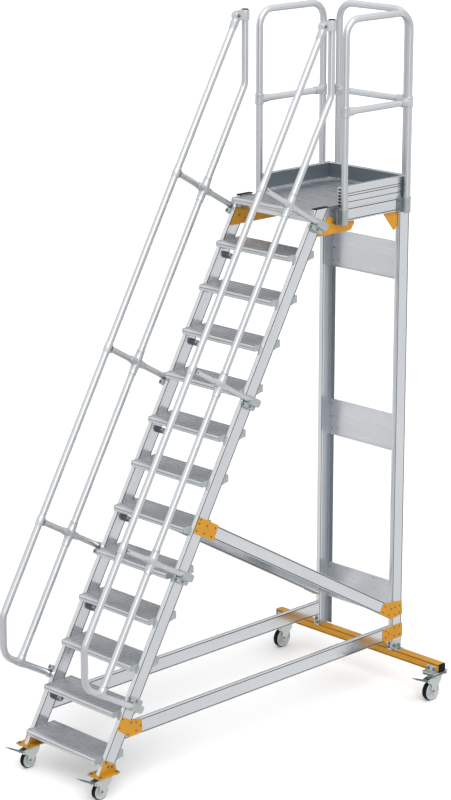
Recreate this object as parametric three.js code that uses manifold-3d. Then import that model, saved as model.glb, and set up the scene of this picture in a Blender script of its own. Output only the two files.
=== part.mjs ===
// Mobile ladder stand: a 60 degree stair of twelve treads up to a guarded platform, on four swivel casters.
// Millimetres. X is the width, Y runs from the foot of the stair to the back, Z is up.
// Lengths along Y are measured from the tip of the front brake pedals; the whole stand is centred at the end.
import * as THREE from 'three';
import { mergeVertices } from 'three/addons/utils/BufferGeometryUtils.js';
import Module from 'manifold-3d';

const wasm = await Module();
wasm.setup();

// ---- Driving dimensions ----
const OVERALL_DEPTH = 2705.5;
const STAIR_ANGLE = Math.PI / 3;
const RISE = 240;
const STEP_COUNT = 12;
const DECK_Z = RISE * (STEP_COUNT + 1);
const GAP = 0.3;

const INNER_X = 296;
const BAR_WIDTH = 27;
const BAR_DEPTH = 90;
const BAR_WALL = 2.5;
const OUTER_X = INNER_X + BAR_WIDTH;
const GROOVE_SPACING = 77;
const GROOVE_WIDTH = 3;
const GROOVE_DEPTH = 1.2;

const STILE_SETBACK = 56.6;
const STILE_TOP = 3125;
const CAP_THICKNESS = 5;
const FOOT_PLATE_TOP = 148;

const TREAD_DEPTH = 215;
const NOSE_HEIGHT = 34;
const TREAD_BACK_HEIGHT = 44;
const SKIN = 3;
const NOSE_RADIUS = 12;
const NOSE_DEPTH = 30;
const BACK_WIDTH = 24;
const BRACKET_DROP = 58;
const BRACKET = { front: 14, neck: 58, back: 150, end: 10 };

const TUBE_RADIUS = 20;
const TUBE_WALL = 2;
const TUBE_X = 347;
const BEND_RADIUS = 100;
const ARM_RADIUS = 17.5;
const INNER_RAIL_PERP = 195;
const OUTER_RAIL_PERP = 450;
const OUTER_RAIL_END = 4547;
const BOTTOM_ARM_ALONG = 626;
const ARM_STATIONS = { lower: 1415, middle: 2478, upper: 3570 };
const ARM_END_PERP = -146;
const RAIL_FRONT_Y = 28;
const RAIL_TOP_Z = 4208;
const INNER_BEND_Z = 3770;

const GUARD_TOP_Z = 4194;
const KNEE_Z = 3668;
const GUARD_FRONT_Y = 2073;
const GUARD_BACK_Y = 2617;
const GUARD_REAR_X = 273;
const GUARD_REAR_Y = 2680;
const SOCKET_BOTTOM = 3009;
const SOCKET_TOP = 3104;
const SOCKET_RADIUS = 23.7;

const SIDE_RAIL_BOTTOM = 3020;
const SIDE_RAIL_TOP = 3103;
const SIDE_RAIL_FRONT = 2045;
const SIDE_RAIL_BACK = 2654;
const TOE_TOP = 3227;
const TOE_THICKNESS = 30;
const TOE_FRONT = 2074;
const TOE_BACK = 2656;

const POST_FRONT = 2577;
const POST_BACK = 2668;
const BEAM_HALF_LENGTH = 693;
const BEAM_FRONT = 2600;
const BEAM_SIZE = 56;
const BEAM_BOTTOM = 185;
const BEAM_TOP = BEAM_BOTTOM + BEAM_SIZE;
const BASE_RAIL_BOTTOM = 311;
const BRACE_LOW = 1672;
const BRACE_WIDTH = 80;
const PANEL_BOTTOMS = { lower: 424, middle: 1501, upper: 2579 };
const PANEL_HEIGHT = 231;
const PLATE = 3;

const FRONT_CASTER = { x: 309.5, y: 194, wheelRadius: 50, wheelWidth: 32, trail: 36, pedalTilt: 27 };
const REAR_CASTER = { x: 640, y: 2630, wheelRadius: 62.5, wheelWidth: 36, trail: 38, pedalTilt: 20.5 };
const CASTER_HEADROOM = 38;
const RACE_HEIGHT = 12;
const RACE_RADIUS = 33;
const FORK_FRONT = 38;
const FORK_BACK = 88;
const PEDAL_PIVOT = { back: 78, drop: 28 };
const PEDAL_LENGTH = 126;
const PEDAL_CURL = 7;
const AXLE_RADIUS = 6;

// The cast holder at an arm's foot: distances off the nosing line, and half its width along the stair.
const HOLDER = { front: -62, back: -147, half: 24, reach: 22 };
const SADDLE = { front: -38, back: -134, near: 24, far: 50, reach: 8 };
const HEAD = { half: 42, wall: 6 };
const CROSS_SLEEVE = { half: 75, end: 24.5, middle: 29 };
const TEE = { radius: 26, half: 30, neck: 22.5, reach: 70 };
const SOCKET_FLANGE = { thick: 4, wide: 66, narrow: 22, low: 16, high: 4 };

const FOOT_PLATE = { half: 56, front: 80, back: 76, thick: 6 };
const CASTER_PLATE = { half: 42, reach: 55, thick: 4 };
const FOOT_BOLT = { x: 40, y: 62, radius: 7, height: 8 };
const BEAM_STACK = { half: 50, front: 68, back: 66, wide: 8, narrow: 5, inset: 6 };
const BEAM_CLAMP = { half: 38, thick: 5, high: 38, boltX: 22, boltZ: 205, boltRadius: 8, boltReach: 14 };
const CAP_LENGTH = 7;
const DRAIN_RADIUS = 4;

const DECK_BEAM = { front: 1878, back: 1908, bottom: 3040 };
const DECK_RIBS = { count: 6, first: 90, rest: 150, deep: 30 };
const TOE_GROOVES = 84;
const SIDE_RAIL_GROOVES = 70;
const BRACE_GROOVES = 67;
const BEAM_GROOVES = 40;
const POST_FLANGE = { width: 27, thick: 2.5, short: 16 };
const RIVET_RADIUS = 6;
const RIVET_HEAD = 2;

// Riveted plates in side view, as [y, z]: corners, rivets through their own bar, and heads beyond it.
const BASE_FRONT_PLATE = {
  corners: [[311, 452], [272, 384], [366, 316], [473, 317], [470, 397]],
  shanks: [[430, 375], [430, 340]],
  heads: [[330, 410], [345, 365]],
};
const BASE_REAR_PLATE = {
  corners: [[2497, 402], [2497, 326], [2522, 306], [2676, 311], [2673, 405]],
  shanks: [[2530, 375], [2530, 335]],
  heads: [[2620, 380], [2620, 335]],
};
const BRACE_UPPER_PLATE = {
  corners: [[929, 1491], [876, 1406], [1034, 1322], [1081, 1405]],
  shanks: [[1010, 1385], [1040, 1368]],
  heads: [[915, 1435], [940, 1448]],
};
const BRACE_LOWER_PLATE = {
  corners: [[2503, 574], [2463, 506], [2565, 446], [2672, 458], [2665, 546]],
  shanks: [[2500, 535], [2545, 505]],
  heads: [[2610, 520], [2640, 490]],
};
const PLATFORM_BRACKET = {
  bottom: 2956,
  front: 1766,
  back: 2185,
  tip: [2221, 3001],
  arm: 3032,
  armFront: 2046,
  lobe: { y: 2003, z: 3027, radius: 35 },
  shoulder: [[1950, 3048], [1810, 3058]],
  heads: [[1850, 3010], [1910, 2990], [2100, 2975], [2150, 2975]],
  shanks: [[2085, 3027], [2125, 3027]],
};
const POST_GUSSET = { corners: [[2448, 3019], [2575, 3019], [2575, 2926], [2545, 2903]], inset: 12 };
const OUTER_CHEEK = { top: [[268, 184], [183, 235]], front: 143, back: 271 };
const INNER_CHEEK = { front: 165, back: 270 };

const ROUND_SIDES = 10;
const HOLLOW_SIDES = 4;
const WHEEL_SIDES = 20;
const BEND_STEP = Math.PI / 6;
const CURVE_SEGMENTS = 3;
const COT = 1 / Math.tan(STAIR_ANGLE);
const UP_STAIR = new THREE.Vector3(0, Math.cos(STAIR_ANGLE), Math.sin(STAIR_ANGLE));
const OFF_STAIR = new THREE.Vector3(0, -Math.sin(STAIR_ANGLE), Math.cos(STAIR_ANGLE));
const X_AXIS = new THREE.Vector3(1, 0, 0);
const Y_AXIS = new THREE.Vector3(0, 1, 0);
const Z_AXIS = new THREE.Vector3(0, 0, 1);

const FINISHES = {
  aluminium: { color: 0xd3d5db, roughness: 0.4, metalness: 0.8 },
  tread: { color: 0x868a90, roughness: 0.6, metalness: 0.5 },
  orange: { color: 0xd3952b, roughness: 0.5, metalness: 0.1 },
  zinc: { color: 0xb4bcb8, roughness: 0.4, metalness: 0.8 },
  tyre: { color: 0x151515, roughness: 0.8, metalness: 0.0 },
};

// ---- Geometry helpers ----

function solid(geometry) {
  const bare = geometry.clone();
  bare.deleteAttribute('normal');
  bare.deleteAttribute('uv');
  const merged = mergeVertices(bare, 1e-4);
  const mesh = new wasm.Mesh({
    numProp: 3,
    vertProperties: new Float32Array(merged.attributes.position.array),
    triVerts: new Uint32Array(merged.index.array),
  });
  return new wasm.Manifold(mesh);
}

function join(...pieces) {
  return pieces.reduce((whole, piece) => whole.add(piece));
}

function cut(piece, ...tools) {
  return tools.reduce((rest, tool) => rest.subtract(tool), piece);
}

function toGeometry(manifold) {
  const mesh = manifold.getMesh();
  const geometry = new THREE.BufferGeometry();
  geometry.setAttribute('position', new THREE.BufferAttribute(mesh.vertProperties, 3));
  geometry.setIndex(new THREE.BufferAttribute(mesh.triVerts, 1));
  geometry.computeVertexNormals();
  return geometry;
}

function addPart(parent, name, manifold, finish) {
  const mesh = new THREE.Mesh(toGeometry(manifold), new THREE.MeshStandardMaterial(FINISHES[finish]));
  mesh.name = name;
  parent.add(mesh);
  return mesh;
}

// A shape drawn on axes u and v, pushed for a length along u x v from an origin.
function pushed(shape, length, origin, u, v) {
  const settings = { depth: length, bevelEnabled: false, curveSegments: CURVE_SEGMENTS };
  const geometry = new THREE.ExtrudeGeometry(shape, settings);
  const basis = new THREE.Matrix4().makeBasis(u, v, new THREE.Vector3().crossVectors(u, v));
  geometry.applyMatrix4(basis.setPosition(origin));
  return solid(geometry);
}

// An outline of [y, z] points, or a Shape in that plane, between two x positions given in either order.
function slab(outline, xA, xB) {
  const shape = Array.isArray(outline) ? polygon(outline) : outline;
  const low = Math.min(xA, xB);
  return pushed(shape, Math.abs(xB - xA), new THREE.Vector3(low, 0, 0), Y_AXIS, Z_AXIS);
}

function block(xA, xB, yA, yB, zA, zB) {
  return slab([[yA, zA], [yB, zA], [yB, zB], [yA, zB]], xA, xB);
}

function polygon(points) {
  return new THREE.Shape(points.map(([u, v]) => new THREE.Vector2(u, v)));
}

function rectangle(width, height) {
  const w = width / 2;
  const h = height / 2;
  return [[-w, -h], [w, -h], [w, h], [-w, h]];
}

// A solid of revolution: profile of [radius, distance] points about an axis through a centre.
function turned(profile, centre, axis, sides = ROUND_SIDES) {
  const points = profile.map(([radius, distance]) => new THREE.Vector2(radius, distance));
  const geometry = new THREE.LatheGeometry(points, sides);
  geometry.applyQuaternion(new THREE.Quaternion().setFromUnitVectors(Y_AXIS, axis));
  geometry.translate(centre.x, centre.y, centre.z);
  return solid(geometry);
}

function rod(radius, start, end, sides = ROUND_SIDES) {
  const axis = end.clone().sub(start);
  const length = axis.length();
  return turned([[0, 0], [radius, 0], [radius, length], [0, length]], start, axis.normalize(), sides);
}

// The radius of a faceted bore whose flats clear a shaft by the gap.
function boreRadius(shaft) {
  return (shaft + GAP) / Math.cos(Math.PI / ROUND_SIDES);
}

// A path of straight runs and round bends, with its stations exactly at the ends of the bends.
class BentPath extends THREE.Curve {
  constructor(corners, bendRadii) {
    super();
    const heading = (i) => corners[i + 1].clone().sub(corners[i]).normalize();
    this.stations = [{ point: corners[0], tangent: heading(0) }];
    for (let i = 1; i < corners.length - 1; i += 1) {
      this.addBend(corners[i], heading(i - 1), heading(i), bendRadii[i - 1]);
    }
    const last = corners.length - 1;
    this.stations.push({ point: corners[last], tangent: heading(last - 1) });
  }

  addBend(corner, into, away, radius) {
    const turn = into.angleTo(away);
    const axis = new THREE.Vector3().crossVectors(into, away).normalize();
    const inward = away.clone().sub(into).normalize();
    const centre = corner.clone().addScaledVector(inward, radius / Math.cos(turn / 2));
    const start = corner.clone().addScaledVector(into, -radius * Math.tan(turn / 2));
    const count = Math.ceil(turn / BEND_STEP);
    for (let k = 0; k <= count; k += 1) {
      const angle = (turn * k) / count;
      const point = start.clone().sub(centre).applyAxisAngle(axis, angle).add(centre);
      this.stations.push({ point, tangent: into.clone().applyAxisAngle(axis, angle) });
    }
  }

  station(u) {
    return this.stations[Math.round(u * (this.stations.length - 1))];
  }

  getPoint(t, target = new THREE.Vector3()) {
    return target.copy(this.station(t).point);
  }

  getPointAt(u, target = new THREE.Vector3()) {
    return target.copy(this.station(u).point);
  }

  getTangentAt(u, target = new THREE.Vector3()) {
    return target.copy(this.station(u).tangent);
  }
}

function bentRod(radius, corners, bendRadii, sides = ROUND_SIDES) {
  const path = new BentPath(corners, bendRadii);
  const section = new THREE.Shape().absarc(0, 0, radius, 0, Math.PI * 2);
  return solid(new THREE.ExtrudeGeometry(section, {
    extrudePath: path,
    steps: path.stations.length - 1,
    curveSegments: sides,
  }));
}

// ---- Places on the stair ----

function noseY(z) {
  return z * COT;
}

// A point at a distance up the nosing line and a distance out from it, in the plane x = 0.
function onStair(along, perp) {
  return new THREE.Vector3().addScaledVector(UP_STAIR, along).addScaledVector(OFF_STAIR, perp);
}

function inPlane(y, z) {
  return new THREE.Vector3(0, y, z);
}

// ---- Grooved bars ----

// The outline of a hollow bar: width on u, depth on v, with two lengthwise grooves on each wide face.
function barShape(width, depth, wall, grooveSpacing, stretch = 1) {
  const halfWidth = width / 2;
  const halfDepth = (depth * stretch) / 2;
  const face = [];
  for (const centre of [-grooveSpacing / 2, grooveSpacing / 2]) {
    const low = (centre - GROOVE_WIDTH / 2) * stretch;
    const high = (centre + GROOVE_WIDTH / 2) * stretch;
    const bottom = halfWidth - GROOVE_DEPTH;
    face.push([halfWidth, low], [bottom, low], [bottom, high], [halfWidth, high]);
  }
  const right = [[halfWidth, -halfDepth], ...face, [halfWidth, halfDepth]];
  const left = right.map(([u, v]) => [-u, -v]);
  const shape = polygon([...right, ...left]);
  const inner = rectangle(width - 2 * wall, (depth - 2 * wall) * stretch);
  shape.holes.push(new THREE.Path(inner.map(([u, v]) => new THREE.Vector2(u, v))));
  return shape;
}

// Everything behind the back face of the stiles, as a cutter for the bars that meet them.
function stileEnvelope() {
  const back = (z) => noseY(z) + STILE_SETBACK + BAR_DEPTH / Math.sin(STAIR_ANGLE) + GAP * 2;
  const front = (z) => back(z) - 2 * BAR_DEPTH;
  const half = OUTER_X + BAR_WIDTH;
  return slab([[front(0), 0], [back(0), 0], [back(DECK_Z), DECK_Z], [front(DECK_Z), DECK_Z]], -half, half);
}

function stile(side) {
  const stretch = 1 / Math.sin(STAIR_ANGLE);
  const shape = barShape(BAR_WIDTH, BAR_DEPTH, BAR_WALL, GROOVE_SPACING, stretch);
  const bottom = FOOT_PLATE_TOP + GAP;
  const height = STILE_TOP - bottom;
  const shear = new THREE.Matrix4().makeShear(0, 0, 0, 0, 0, COT);
  const geometry = new THREE.ExtrudeGeometry(shape, { depth: height, bevelEnabled: false });
  geometry.applyMatrix4(shear);
  const halfDepth = (BAR_DEPTH * stretch) / 2;
  const centreX = side * (INNER_X + BAR_WIDTH / 2);
  geometry.translate(centreX, noseY(bottom) + STILE_SETBACK + halfDepth, bottom);
  const topCentre = noseY(STILE_TOP) + STILE_SETBACK + halfDepth;
  const lip = CAP_THICKNESS;
  const inside = side * (INNER_X + GAP);
  const reach = halfDepth + lip;
  const outside = side * (OUTER_X + lip);
  const cap = block(inside, outside, topCentre - reach, topCentre + reach, STILE_TOP - GAP, STILE_TOP + lip);
  return join(solid(geometry), cap);
}

// ---- Treads and platform ----

// The nosing and top of a tread or the deck, as a hollow outline from the nose back to a depth.
function treadShape(depth, backHeight) {
  const outer = new THREE.Shape();
  outer.moveTo(NOSE_RADIUS - 2, 0);
  outer.absarc(NOSE_RADIUS, -NOSE_RADIUS, NOSE_RADIUS, Math.PI / 2, Math.PI, false);
  outer.absarc(NOSE_RADIUS, NOSE_RADIUS - NOSE_HEIGHT, NOSE_RADIUS, Math.PI, Math.PI * 1.5, false);
  outer.lineTo(NOSE_DEPTH, -NOSE_HEIGHT);
  outer.lineTo(NOSE_DEPTH, -SKIN * 2);
  outer.lineTo(depth - BACK_WIDTH, -SKIN * 2);
  outer.lineTo(depth - BACK_WIDTH, -backHeight);
  outer.lineTo(depth, -backHeight);
  outer.lineTo(depth, 0);
  outer.closePath();
  const front = NOSE_RADIUS - 4;
  const web = NOSE_DEPTH - SKIN;
  const floor = SKIN - NOSE_HEIGHT;
  const noseHole = polygon([[front, -front], [front, front - NOSE_HEIGHT], [web, floor], [web, -SKIN]]);
  const near = depth - BACK_WIDTH + SKIN;
  const far = depth - SKIN;
  const backHole = polygon([[near, -SKIN], [near, SKIN - backHeight], [far, SKIN - backHeight], [far, -SKIN]]);
  outer.holes.push(new THREE.Path(noseHole.getPoints()));
  outer.holes.push(new THREE.Path(backHole.getPoints()));
  return outer;
}

function step() {
  const end = INNER_X - GAP;
  const tread = slab(treadShape(TREAD_DEPTH, TREAD_BACK_HEIGHT), -end, end);
  const { front, neck, back } = BRACKET;
  const rear = TREAD_DEPTH - BRACKET.end;
  const top = [[rear, -SKIN], [front, -SKIN], [front, 4 - NOSE_HEIGHT]];
  const bracketOutline = [...top, [neck, -BRACKET_DROP], [back, -BRACKET_DROP], [rear, 2 - TREAD_BACK_HEIGHT]];
  const brackets = [-1, 1].map((side) => slab(bracketOutline, side * end, side * (end - PLATE)));
  return join(tread, ...brackets);
}

function platformDeck() {
  const front = noseY(DECK_Z);
  const edge = INNER_X - PLATE - 2 * GAP;
  const back = SIDE_RAIL_BACK - GAP;
  const shape = treadShape(back - BAR_WIDTH - 2 - front, TREAD_BACK_HEIGHT);
  const deck = pushed(shape, 2 * edge, new THREE.Vector3(-edge, front, DECK_Z), Y_AXIS, Z_AXIS);
  const ribs = [];
  const ribSpacing = (back - front - DECK_RIBS.rest) / DECK_RIBS.count;
  for (let i = 0; i < DECK_RIBS.count; i += 1) {
    const y = front + DECK_RIBS.first + i * ribSpacing;
    ribs.push(block(-edge, edge, y, y + SKIN, DECK_Z - DECK_RIBS.deep, DECK_Z - SKIN));
  }
  const beam = crossBeam(edge, DECK_BEAM.front, DECK_BEAM.back, DECK_BEAM.bottom, DECK_Z - SKIN);
  const rearRail = crossBeam(edge, back - BAR_WIDTH, back, SIDE_RAIL_BOTTOM, SIDE_RAIL_TOP - GAP);
  const seam = back - BAR_WIDTH;
  const link = block(-edge, edge, seam - 4, seam + 1, SIDE_RAIL_TOP - TUBE_RADIUS, SIDE_RAIL_TOP - GAP);
  return join(deck, ...ribs, beam, rearRail, link);
}

// A hollow beam right across the platform, open at its ends.
function crossBeam(edge, front, back, bottom, top) {
  const hollow = block(-edge - 1, edge + 1, front + SKIN, back - SKIN, bottom + SKIN, top - 2 * SKIN);
  return cut(block(-edge, edge, front, back, bottom, top), hollow);
}

function toeShape() {
  const height = TOE_TOP - SIDE_RAIL_TOP - GAP;
  return barShape(TOE_THICKNESS, height, BAR_WALL, TOE_GROOVES);
}

function sideToeBoard(side) {
  const length = TOE_BACK - TOE_THICKNESS - GAP - TOE_FRONT;
  const middle = (TOE_TOP + SIDE_RAIL_TOP + GAP) / 2;
  const origin = new THREE.Vector3(side * (OUTER_X - TOE_THICKNESS / 2), TOE_FRONT + length, middle);
  return pushed(toeShape(), length, origin, X_AXIS, Z_AXIS);
}

function rearToeBoard() {
  const middle = (TOE_TOP + SIDE_RAIL_TOP + GAP) / 2;
  const origin = new THREE.Vector3(-OUTER_X, TOE_BACK - TOE_THICKNESS / 2, middle);
  return pushed(toeShape(), 2 * OUTER_X, origin, Y_AXIS, Z_AXIS);
}

function sideRail(side) {
  const height = SIDE_RAIL_TOP - SIDE_RAIL_BOTTOM;
  const middle = (SIDE_RAIL_TOP + SIDE_RAIL_BOTTOM) / 2;
  const origin = new THREE.Vector3(side * (OUTER_X - BAR_WIDTH / 2), SIDE_RAIL_BACK, middle);
  const length = SIDE_RAIL_BACK - SIDE_RAIL_FRONT;
  const rail = pushed(barShape(BAR_WIDTH, height, BAR_WALL, SIDE_RAIL_GROOVES), length, origin, X_AXIS, Z_AXIS);
  const inside = side * (INNER_X - GAP);
  const plate = slab(platformBracketShape(), inside, side * (INNER_X - GAP - PLATE));
  const head = side * (INNER_X - GAP - PLATE - RIVET_HEAD);
  const rivets = PLATFORM_BRACKET.heads.map(([y, z]) => rivet(inside - side, head, y, z));
  const shanks = PLATFORM_BRACKET.shanks.map(([y, z]) => rivet(side * (INNER_X + 1), head, y, z));
  const gussetX = OUTER_X - POST_GUSSET.inset;
  const gusset = slab(POST_GUSSET.corners, side * gussetX, side * (gussetX - PLATE));
  const [[tabFront], [tabBack]] = POST_GUSSET.corners;
  const tab = block(side * gussetX, side * (gussetX - PLATE), tabFront + 7, tabBack - 5, SIDE_RAIL_BOTTOM - 5,
    SIDE_RAIL_BOTTOM + 4);
  return join(rail, plate, ...rivets, ...shanks, gusset, tab);
}

function platformBracketShape() {
  const { bottom, front, back, tip, arm, armFront, lobe, shoulder } = PLATFORM_BRACKET;
  const shape = new THREE.Shape();
  shape.moveTo(front, bottom);
  shape.lineTo(back, bottom);
  shape.lineTo(...tip);
  shape.lineTo(back - 5, arm);
  shape.lineTo(armFront, arm);
  shape.absarc(lobe.y, lobe.z, lobe.radius, 0.2, Math.PI * 0.75, false);
  shoulder.forEach((corner) => shape.lineTo(...corner));
  shape.closePath();
  return shape;
}

// ---- Riveted plates ----

// A rivet or bolt head across the faces of a plate, between two x positions.
function rivet(xA, xB, y, z) {
  const start = new THREE.Vector3(Math.min(xA, xB), y, z);
  const end = new THREE.Vector3(Math.max(xA, xB), y, z);
  return rod(RIVET_RADIUS, start, end, 6);
}

// An orange plate on the outer face of the frame, held to its own bar by shanks through the bar's wall.
function outerPlate(side, { corners, shanks, heads }) {
  const inner = side * (OUTER_X + GAP);
  const plate = slab(corners, inner, side * (OUTER_X + GAP + PLATE));
  const top = side * (OUTER_X + GAP + PLATE + RIVET_HEAD);
  const pins = shanks.map(([y, z]) => rivet(side * (OUTER_X - 2), top, y, z));
  const knobs = heads.map(([y, z]) => rivet(side * (OUTER_X + GAP + 1), top, y, z));
  return join(plate, ...pins, ...knobs);
}

function baseRail(side) {
  const middle = BASE_RAIL_BOTTOM + BAR_DEPTH / 2;
  const origin = new THREE.Vector3(side * (OUTER_X - BAR_WIDTH / 2), POST_FRONT - GAP, middle);
  const length = POST_FRONT - GAP - noseY(BASE_RAIL_BOTTOM) - STILE_SETBACK;
  const bar = pushed(barShape(BAR_WIDTH, BAR_DEPTH, BAR_WALL, GROOVE_SPACING), length, origin, X_AXIS, Z_AXIS);
  const plates = [BASE_FRONT_PLATE, BASE_REAR_PLATE].map((plate) => outerPlate(side, plate));
  return join(cut(bar, stileEnvelope()), ...plates);
}

function brace(side) {
  const middle = BRACE_LOW + BRACE_WIDTH / 2;
  const perpStart = -STILE_SETBACK * Math.sin(STAIR_ANGLE) - BAR_DEPTH - 2 * GAP;
  const start = onStair(middle, perpStart).setX(side * (OUTER_X - BAR_WIDTH / 2));
  const shape = barShape(BAR_WIDTH, BRACE_WIDTH, BAR_WALL, BRACE_GROOVES);
  const bar = pushed(shape, POST_FRONT, start, X_AXIS, UP_STAIR.clone().negate());
  const half = OUTER_X + BAR_WIDTH;
  const beyond = block(-half, half, POST_FRONT - GAP, 2 * POST_FRONT, -DECK_Z, DECK_Z);
  const plates = [BRACE_UPPER_PLATE, BRACE_LOWER_PLATE].map((plate) => outerPlate(side, plate));
  return join(cut(bar, beyond), ...plates);
}

// ---- Feet, posts, beam ----

function stileFoot(side) {
  const { x, y } = FRONT_CASTER;
  const { half, front, back, thick } = FOOT_PLATE;
  const bottom = FOOT_PLATE_TOP - thick;
  const plate = block(side * (x - half), side * (x + half), y - front, y + back, bottom, FOOT_PLATE_TOP);
  const root = FOOT_PLATE_TOP - 1;
  const outerOutline = [...OUTER_CHEEK.top, [OUTER_CHEEK.front, root], [OUTER_CHEEK.back, root]];
  const outerCheek = slab(outerOutline, side * (OUTER_X + GAP), side * (OUTER_X + GAP + PLATE));
  const innerTop = RISE - BRACKET_DROP - 1;
  const innerOutline = [[INNER_CHEEK.front, innerTop], [OUTER_CHEEK.front + 2, root], [OUTER_CHEEK.back, root],
    [INNER_CHEEK.back, innerTop]];
  const innerCheek = slab(innerOutline, side * (INNER_X - GAP), side * (INNER_X - GAP - PLATE));
  const mount = block(side * (x - CASTER_PLATE.half), side * (x + CASTER_PLATE.half), y - CASTER_PLATE.reach,
    y + CASTER_PLATE.reach, bottom - CASTER_PLATE.thick, bottom + 1);
  return join(plate, outerCheek, innerCheek, mount, ...footBolts(side * x, y));
}

function footBolts(x, y) {
  const bolts = [];
  for (const dx of [-FOOT_BOLT.x, FOOT_BOLT.x]) {
    for (const dy of [-FOOT_BOLT.y, FOOT_BOLT.y]) {
      const root = new THREE.Vector3(x + dx, y + dy, FOOT_PLATE_TOP - 1);
      bolts.push(rod(FOOT_BOLT.radius, root, root.clone().setZ(FOOT_PLATE_TOP + FOOT_BOLT.height), 6));
    }
  }
  return bolts;
}

function rearPost(side) {
  const depth = POST_BACK - POST_FRONT;
  const bottom = BEAM_TOP + GAP;
  const height = SIDE_RAIL_BOTTOM - GAP - bottom;
  const origin = new THREE.Vector3(side * (OUTER_X - BAR_WIDTH / 2), (POST_FRONT + POST_BACK) / 2, bottom);
  const post = pushed(barShape(BAR_WIDTH, depth, BAR_WALL, GROOVE_SPACING), height, origin, X_AXIS, Y_AXIS);
  const edge = side * (INNER_X - POST_FLANGE.width);
  const face = POST_BACK - POST_FLANGE.thick;
  const flange = block(edge, side * (INNER_X + 1), face, POST_BACK, bottom, bottom + height - POST_FLANGE.short);
  return join(post, flange);
}

function crossPanel(bottom) {
  const back = POST_BACK - POST_FLANGE.thick - GAP;
  const edge = INNER_X - GAP;
  return block(-edge, edge, back - 2, back, bottom, bottom + PANEL_HEIGHT);
}

function outriggerBeam() {
  const origin = new THREE.Vector3(-BEAM_HALF_LENGTH, BEAM_FRONT + BEAM_SIZE / 2, BEAM_BOTTOM + BEAM_SIZE / 2);
  const shape = barShape(BEAM_SIZE, BEAM_SIZE, BAR_WALL, BEAM_GROOVES);
  const tube = pushed(shape, 2 * BEAM_HALF_LENGTH, origin, Y_AXIS, Z_AXIS);
  const ends = [-1, 1].map((side) => join(beamCap(side), casterStack(side), beamClamp(side)));
  return join(tube, ...ends);
}

// The end cap of the beam, with its drain hole.
function beamCap(side) {
  const inner = BEAM_HALF_LENGTH - 1;
  const outer = BEAM_HALF_LENGTH + CAP_LENGTH;
  const cap = block(side * inner, side * outer, BEAM_FRONT, BEAM_FRONT + BEAM_SIZE, BEAM_BOTTOM, BEAM_TOP);
  const centre = inPlane(BEAM_FRONT + BEAM_SIZE / 2, BEAM_BOTTOM + BEAM_SIZE / 2);
  const start = centre.clone().setX(side * (inner - BEAM_SIZE));
  return cut(cap, rod(DRAIN_RADIUS, start, centre.clone().setX(side * (outer + BEAM_SIZE)), 8));
}

// The stack of plates under a beam end that carries a rear caster.
function casterStack(side) {
  const { x, y } = REAR_CASTER;
  const { half, front, back, wide, narrow, inset } = BEAM_STACK;
  const bottom = casterTop(REAR_CASTER);
  const layer = (shrink, low, high) => {
    const reach = half - shrink;
    return block(side * (x - reach), side * (x + reach), y - front + shrink, y + back - shrink, low, high);
  };
  return join(
    layer(0, BEAM_BOTTOM - wide, BEAM_BOTTOM + 1),
    layer(inset, bottom + narrow - 1, BEAM_BOTTOM - wide + 1),
    layer(1, bottom, bottom + narrow),
  );
}

// The bolted clamp on the front of a beam end.
function beamClamp(side) {
  const { x } = REAR_CASTER;
  const { half, thick, high, boltX, boltZ, boltRadius, boltReach } = BEAM_CLAMP;
  const face = block(side * (x - half), side * (x + half), BEAM_FRONT - thick, BEAM_FRONT + 1, BEAM_BOTTOM - 2,
    BEAM_BOTTOM + high);
  const bolts = [-boltX, boltX].map((dx) => {
    const tip = new THREE.Vector3(side * (x + dx), BEAM_FRONT - boltReach, boltZ);
    return rod(boltRadius, tip, tip.clone().setY(BEAM_FRONT - thick + 1), 6);
  });
  return join(face, ...bolts);
}

// ---- Handrails ----

// The cast holder round an arm's foot on the outer face of the stile, and the bolted saddle beside it.
// up is 1 where the saddle is above the arm and -1 where it is below.
function armHolder(side, along, up) {
  const { front, back, half, reach } = HOLDER;
  const inner = -side * (TUBE_X - OUTER_X - GAP);
  const cup = [[-half, front], [-half, back + 16], [-half + 14, back], [half - 14, back], [half, back + 16],
    [half, front]];
  const near = up * (SADDLE.near - 1);
  const far = up * SADDLE.far;
  const saddle = [[near, SADDLE.front], [far, SADDLE.front], [far, SADDLE.back], [near, SADDLE.back]];
  const layer = (outline, outer) => pushed(polygon(outline), Math.abs(outer - inner),
    onStair(along, 0).setX(Math.min(inner, outer)), UP_STAIR, OFF_STAIR);
  return join(layer(cup, side * reach), layer(saddle, side * SADDLE.reach));
}

// A cast sleeve that swells in the middle, round a rail at a centre.
function sleeve(centre, axis) {
  const { half, end, middle } = CROSS_SLEEVE;
  return turned([[0, -half], [end, -half], [middle, 0], [end, half], [0, half]], centre, axis);
}

// Where the inner rail leaves the slope and goes straight up.
function innerRailY() {
  const foot = onStair(0, INNER_RAIL_PERP);
  return foot.y + (INNER_BEND_Z - foot.z) * COT;
}

function innerHandrail() {
  const start = onStair(BOTTOM_ARM_ALONG + TUBE_RADIUS + 1, INNER_RAIL_PERP);
  const turn = inPlane(innerRailY(), INNER_BEND_Z);
  const hollow = [start.clone().addScaledVector(UP_STAIR, -5), turn, inPlane(turn.y, RAIL_TOP_Z - 4)];
  const corners = [start, turn, inPlane(turn.y, RAIL_TOP_Z)];
  const inside = bentRod(TUBE_RADIUS - TUBE_WALL, hollow, [BEND_RADIUS], HOLLOW_SIDES);
  return cut(bentRod(TUBE_RADIUS, corners, [BEND_RADIUS]), inside);
}

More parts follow.
